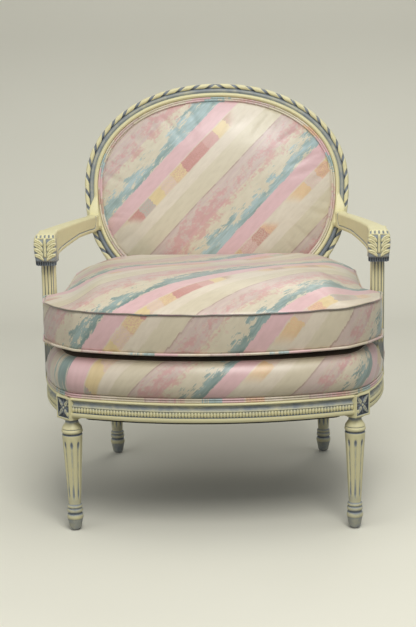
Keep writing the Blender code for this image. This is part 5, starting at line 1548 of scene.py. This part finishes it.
def close_seam(mesh):
    """Keep the deck's cloth map whole where the fabric's two ends meet at the rear."""
    cloth = mesh.uv_layers["cloth"].data
    layout = values_of(cloth, "uv", 2, np.float32)
    for polygon in mesh.polygons:
        corners = slice(polygon.loop_start, polygon.loop_start + polygon.loop_total)
        if np.ptp(layout[corners, 0]) > 2:
            layout[corners] = layout[polygon.loop_start]
    cloth.foreach_set("uv", layout.ravel())


def seat_welts():
    clear = POST_SIDE / 2 + 0.0025
    ahead = side_line(60, 0, side_at(POST_Y - clear))
    front = spaced(np.concatenate([mirrored(ahead), front_line(160), ahead]), 0.003)
    weights = np.array([1, 4, 6, 4, 1]) / 16
    for _ in range(6):
        inner = np.stack([np.convolve(part, weights, "valid") for part in front.T], -1)
        front = np.concatenate([front[:2], inner, front[-2:]])
    right = side_line(90, side_at(POST_Y + clear), side_at(REAR_BLOCK_Y - REAR_BLOCK / 2 - 0.004))
    for name, line in (("front", front), ("right", right), ("left", mirrored(right)),
                       ("rear", rear_line(60, -0.001))):
        edge = offset(line, -SEAT_CORD_INSET)
        cords = [at_height(edge, RAIL_TOP + SEAT_CORD * lane) for lane in SEAT_LANES]
        welt(f"seat_{name}_welt", "double", cords, SEAT_CORD, closed=False)


# Loose cushion

def cushion_outline():
    """Closed T-shaped line of the cushion's welts, from the front's middle to the right."""
    clear = POST_SIDE / 2 + CUSHION_CLEAR
    ear_y, notch_x = POST_Y - clear, POST_CENTRE[0] - clear
    front = offset(front_line(241), CUSHION_OVERHANG)[120:-6]
    ear_end = side_line(2, side_at(ear_y - CUSHION_CLEAR), 1.0)[0]
    notch = [(notch_x + 0.012, ear_y + 0.001), (notch_x, ear_y + 0.006)]
    side = side_line(80, side_at(POST_Y + clear), side_at(CUSHION_REAR - CUSHION_CORNER))
    side = offset(side, -CUSHION_IN_RAIL)
    side[:, 0] = np.minimum(side[:, 0], POST_CENTRE[0] - HANDHOLD_WIDE / 2 - 0.0065)
    corner = np.array((side[-1, 0] - CUSHION_CORNER * 0.4, CUSHION_REAR))
    t = np.linspace(0, 1, 24)[1:, None]
    bend = side[-1] * (1 - t) ** 2 + corner * (2 * t * (1 - t)) + (corner - (CUSHION_CORNER, 0)) * t * t
    half = np.concatenate([front, [EAR_BEND, EAR_CORNER, ear_end], notch, side, bend, [(0.0, CUSHION_REAR)]])
    loop = np.concatenate([half, mirrored(half[1:-1])])
    return softened(spaced(loop, OUTLINE_STEP, True), 0.004, OUTLINE_STEP)


def cushion_rows():
    """Rings from the underside up: share of the outline, height, bulge, and share of the welts' rise."""
    rows = [(share, CUSHION_BOTTOM, 0, 0.0) for share in (0.05, 0.5, 0.80)]
    rows += [(0.93, CUSHION_BOTTOM + 0.0012, 0, 0.4), (1.0, CUSHION_LOW, 0, 1.0)]
    for t in np.linspace(0.1, 0.9, 9):
        height = CUSHION_LOW + (CUSHION_HIGH - CUSHION_LOW) * t
        rows.append((1.0, height, BOXING_BULGE * math.sin(math.pi * t), 1.0))
    rows.append((1.0, CUSHION_HIGH, 0, 1.0))
    shares = (0.0, 0.34, 0.62, 0.82, 0.88, 0.93, 0.96, 0.985, 1.0)
    crowns = (1.0, 0.97, 0.85, 0.63, 0.52, 0.39, 0.29, 0.16, 0.0)
    for share in np.concatenate([np.linspace(1.0, 0.72, 13)[1:], np.linspace(0.68, 0.04, 17)]):
        crown = np.interp(share + np.linspace(-0.05, 0.05, 9), shares, crowns).mean()
        rows.append((share, CUSHION_HIGH + CUSHION_CROWN * crown, 0, 1 - crown))
    return rows


def loose_cushion():
    outline = cushion_outline()
    out = outward(outline, True)
    rise = WELT_RISE * (outline[:, 0] / np.abs(outline[:, 0]).max()) ** 2
    boxing = outline - out * BOXING_BULGE
    rings = [at_height(CUSHION_MIDDLE + (boxing + out * bulge - CUSHION_MIDDLE) * share, z + lift * rise)
             for share, z, bulge, lift in cushion_rows()]
    cushion = even_pad("striped_seat_cushion", loft(rings), CUSHION_VOXEL)
    seams = np.concatenate([at_height(boxing, z + rise) for z in (CUSHION_LOW, CUSHION_HIGH)])
    _, away = nearest(values_of(cushion.data.vertices, "co", 3), seams + (0, LEG_LINE, 0))
    points = rest_cushion(swollen(cushion, away < SEAM_REACH, CUSHION_CAP), outline, out)
    cover(cushion, points, lambda mesh: lay_cushion(mesh, outline, rise), FABRIC)
    place_piece(cushion, "striped_fabric", "seat_cushion", body="loose_cushion")

    tucked = WELT_TUCK * smooth(POST_Y - 0.02, POST_Y + 0.05, outline[:, 1])
    a = np.linspace(0, 2 * np.pi, len(outline), endpoint=False)
    wavy = 0.0004 * np.sin(23 * a) + 0.0003 * np.sin(41 * a + 1)
    # The upper welt's cord is darkened at the front: painted shade along the cushion's front edge
    for word, z, fabric, inset, radius in (("lower", CUSHION_LOW, CORD_FABRIC, 0.0002, LOWER_WELT),
                                           ("upper", CUSHION_HIGH + wavy, SHADED_CORD, 0.0016, UPPER_WELT)):
        seam = at_height(outline - out * (inset + tucked)[:, None], z + rise)
        welt(f"cushion_{word}_welt", "corded", [seam], radius, fabric, body="loose_cushion")


def nearest(points, targets):
    """For each point, which target is nearest and how far it is."""
    which, far = [], []
    for part in np.array_split(points, len(points) // 4000 + 1):
        apart = ((part[:, None] - targets) ** 2).sum(-1)
        which.append(apart.argmin(1))
        far.append(np.sqrt(apart.min(1)))
    return np.concatenate(which), np.concatenate(far)


def rest_cushion(points, outline, out):
    """Flat on the deck, sat in at the rear and ears, and no wider behind the arm posts than its welts."""
    plan = points[:, :2] - (0, LEG_LINE)
    z = np.maximum(points[:, 2], CUSHION_BOTTOM)
    over = z - CUSHION_HIGH
    most = CROWN_FRONT + (CROWN_REAR - CROWN_FRONT) * smooth(0.10, 0.36, plan[:, 1])
    flat = most - CROWN_EASE * np.logaddexp(0, (most - over) / CROWN_EASE)
    ear = smooth(0.215, 0.300, np.abs(plan[:, 0])) * smooth(POST_Y + 0.03, POST_Y - 0.03, plan[:, 1])
    pressed = CUSHION_HIGH + CROWN_START + (flat - CROWN_START) * (1 - EAR_FLAT * ear)
    z = np.where(over > CROWN_START, pressed, z)
    which, _ = nearest(plan, outline)
    past = ((plan - outline[which]) * out[which]).sum(1)
    allowed = np.where(outline[which, 1] > POST_Y - 0.03, 0.001, 0.009)
    plan = plan - out[which] * np.clip(past - allowed, 0, None)[:, None]
    return at_height(plan + (0, LEG_LINE), z)


def lay_cushion(mesh, outline, rise):
    """Stripes run from the boxing's front over onto the top; the underside is laid flat too."""
    points = values_of(mesh.vertices, "co", 3) - (0, LEG_LINE, 0)
    x, y, z = points.T
    which, _ = nearest(points[:, :2], outline)
    run, _ = run_round(outline)
    front = outline[:, 1].min()
    bow = 0.7 * FRONT_BOW * (x / FRONT_LEG_HALF) ** 2
    box = stripes_at(run[which], z - CUSHION_LOW, "boxing")
    top = stripes_at(x, (y - front - bow) * 1.04, "top")
    low = stripes_at(x, front - y, "boxing")

    middles = values_of(mesh.polygons, "center", 3)
    near, _ = nearest(middles[:, :2] - (0, LEG_LINE), outline)
    totals = values_of(mesh.polygons, "loop_total", 1, np.int32)
    height = np.repeat(middles[:, 2] - rise[near], totals)[:, None]
    corners = values_of(mesh.loops, "vertex_index", 1, np.int32)
    sides = [height > CUSHION_HIGH, height < CUSHION_LOW]
    layout = np.select(sides, [top[corners], low[corners]], box[corners])
    mesh.uv_layers.new(name="cloth").data.foreach_set("uv", layout.astype(np.float32).ravel())


# Under the seat and inside the back

def webbing(node):
    """A strap as a thin woven band with eased edges, on its solid's place."""
    bm = bmesh.new()
    bm.from_mesh(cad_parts[node].data)
    bmesh.ops.remove_doubles(bm, verts=bm.verts, dist=1e-6)
    bmesh.ops.dissolve_limit(bm, angle_limit=0.02, verts=bm.verts, edges=bm.edges)
    bmesh.ops.bevel(bm, geom=list(bm.edges), offset=0.0004, segments=2, affect="EDGES")
    bmesh.ops.recalc_face_normals(bm, faces=bm.faces)
    mesh = bpy.data.meshes.new(f"woven_{node}")
    bm.to_mesh(mesh)
    bm.free()
    mesh.materials.append(JUTE)
    place_piece(bpy.data.objects.new(f"woven_{node}", mesh), "jute_webbing", node)


def coil_spring(node):
    low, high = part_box(node)
    middle = (low + high) / 2
    turns, wire = 4, 0.0019
    t = np.linspace(0, 1, turns * 28 + 1)
    radius = 0.026 + 0.012 * (2 * t - 1) ** 2
    a = 2 * np.pi * turns * t
    path = np.stack([middle.x + radius * np.cos(a), middle.y - LEG_LINE + radius * np.sin(a),
                     low.z + wire + (high.z - low.z - 2 * wire) * t], -1)
    place_piece(run_along(f"wound_{node}", CORD, [path], STEEL, Radius=wire), "spring_steel", node)


def dust_sheet():
    low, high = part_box("dust_cover")
    loop = offset(spaced(seat_outline(), 0.010, True), -0.0105, True)
    for x, y in ((FRONT_LEG_HALF, 0.0), (REAR_LEG_HALF, REAR_BLOCK_Y)):
        for side in (-1, 1):
            inwards = SEAT_MIDDLE - loop
            inwards /= np.linalg.norm(inwards, axis=1)[:, None]
            near = smooth(0.045, 0.020, np.linalg.norm(loop - (side * x, y), axis=1))
            loop = loop + inwards * (0.024 * near)[:, None]
    shares = (0.02, 0.3, 0.6, 0.85, 0.97, 1.0)
    rows = [(share, high.z) for share in shares] + [(share, low.z) for share in shares[::-1]]
    shell = loft([at_height(SEAT_MIDDLE + (loop - SEAT_MIDDLE) * share, z - 0.004 * (1 - share**2))
                  for share, z in rows])
    sheet = place_piece(new_piece("stapled_dust_cloth", shell, DUST, sharp=60), "dust_cloth", "dust_cover")
    x, y = loop.T


def hidden_parts():
    for name in sorted(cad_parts):
        if "strap" in name:
            webbing(name)
        elif "spring" in name:
            coil_spring(name)
        elif "brace" in name:
            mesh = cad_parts[name].data
            mesh.materials.clear()
            mesh.materials.append(WOOD)
    dust_sheet()


# Floor, light and camera

def floor_finish():
    """Pale to the camera, duller for the light that bounces off it, and open from behind."""
    material, tree, shader, place = finish("pale_floor", 0.85)
    tone = mixed(cloudy(place, 3.0, 2.0), shade(243, 241, 224), shade(247, 245, 229))
    ray = put(tree, "ShaderNodeLightPath").outputs
    direct = calc("MAXIMUM", *(Wire(tree, ray[word]) for word in ("Is Camera Ray", "Is Glossy Ray")))
    mixed(direct, shade(100, 96, 88), tone).into(shader, "Base Color")
    behind = made(tree, "ShaderNodeNewGeometry", output="Backfacing")
    clear = made(tree, "ShaderNodeBsdfTransparent")
    one_sided = made(tree, "ShaderNodeMixShader", {0: behind, 1: Wire(tree, shader.outputs[0]), 2: clear})
    one_sided.into(tree.nodes["Material Output"], "Surface")
    return material


def studio():
    scene = bpy.context.scene
    scene.view_settings.view_transform = "Standard"
    a = np.linspace(0, np.pi / 2, 24)
    bend = np.stack([1.6 + 0.9 * np.sin(a), 0.9 - 0.9 * np.cos(a)], -1)
    profile = np.concatenate([[(-6.0, 0.0)], bend, [(2.5, 5.0)]])
    mesh = bpy.data.meshes.new("pale_floor")
    mesh.from_pydata([(x, y, z) for x in (-7.0, 7.0) for y, z in profile], [],
                     [face[::-1] for face in grid(2, len(profile))])
    mesh.shade_smooth()
    mesh.materials.append(floor_finish())
    floor = bpy.data.objects.new("pale_floor", mesh)
    scene.collection.objects.link(floor)

    world = bpy.data.worlds.new("studio")
    scene.world = world
    world.use_nodes = True
    sky = world.node_tree.nodes["Background"].inputs
    sky["Color"].default_value = (0.96, 0.98, 1.0, 1)
    sky["Strength"].default_value = 0.42
    for name, place, aim, size, power in (("key", (0.5, -2.2, 2.9), (0, 0.1, 0.45), 1.4, 46),
                                          ("fill", (-2.3, -2.2, 1.8), (0, 0.1, 0.45), 2.2, 11),
                                          ("above", (0.2, -0.6, 3.2), (0, 0.2, 0.4), 2.0, 15),
                                          ("behind", (0.6, 2.2, 2.6), (0, 0.3, 0.5), 1.6, 17)):
        lamp = bpy.data.lights.new(name, "AREA")
        lamp.size = size
        lamp.energy = power
        lamp.color = (1.0, 0.985, 0.96)
        obj = bpy.data.objects.new(name, lamp)
        scene.collection.objects.link(obj)
        obj.location = place
        obj.rotation_euler = (Vector(aim) - Vector(place)).to_track_quat("-Z", "Y").to_euler()


def camera():
    yaw, pitch, roll = (math.radians(turn) for turn in CAMERA_TURNS)
    forward = np.array((math.sin(yaw) * math.cos(pitch), math.cos(yaw) * math.cos(pitch), -math.sin(pitch)))
    level = np.array((math.cos(yaw), -math.sin(yaw), 0.0))
    upright = np.cross(level, forward)
    right = level * math.cos(roll) + upright * math.sin(roll)
    up = upright * math.cos(roll) - level * math.sin(roll)
    data = bpy.data.cameras.new("photo_view")
    data.sensor_width = CAMERA_SENSOR
    data.lens = CAMERA_FOCAL * CAMERA_SENSOR
    obj = bpy.data.objects.new("photo_view", data)
    bpy.context.scene.collection.objects.link(obj)
    place = np.eye(4)
    place[:3] = np.stack([right, up, -forward, np.add(CAMERA_PLACE, (0, LEG_LINE, 0))], -1)
    obj.matrix_world = Matrix(place.tolist())
    bpy.context.scene.camera = obj


camera()
studio()
seat_rails()
legs()
back_frame()
arms()
back_upholstery()
seat_deck()
seat_welts()
loose_cushion()
hidden_parts()
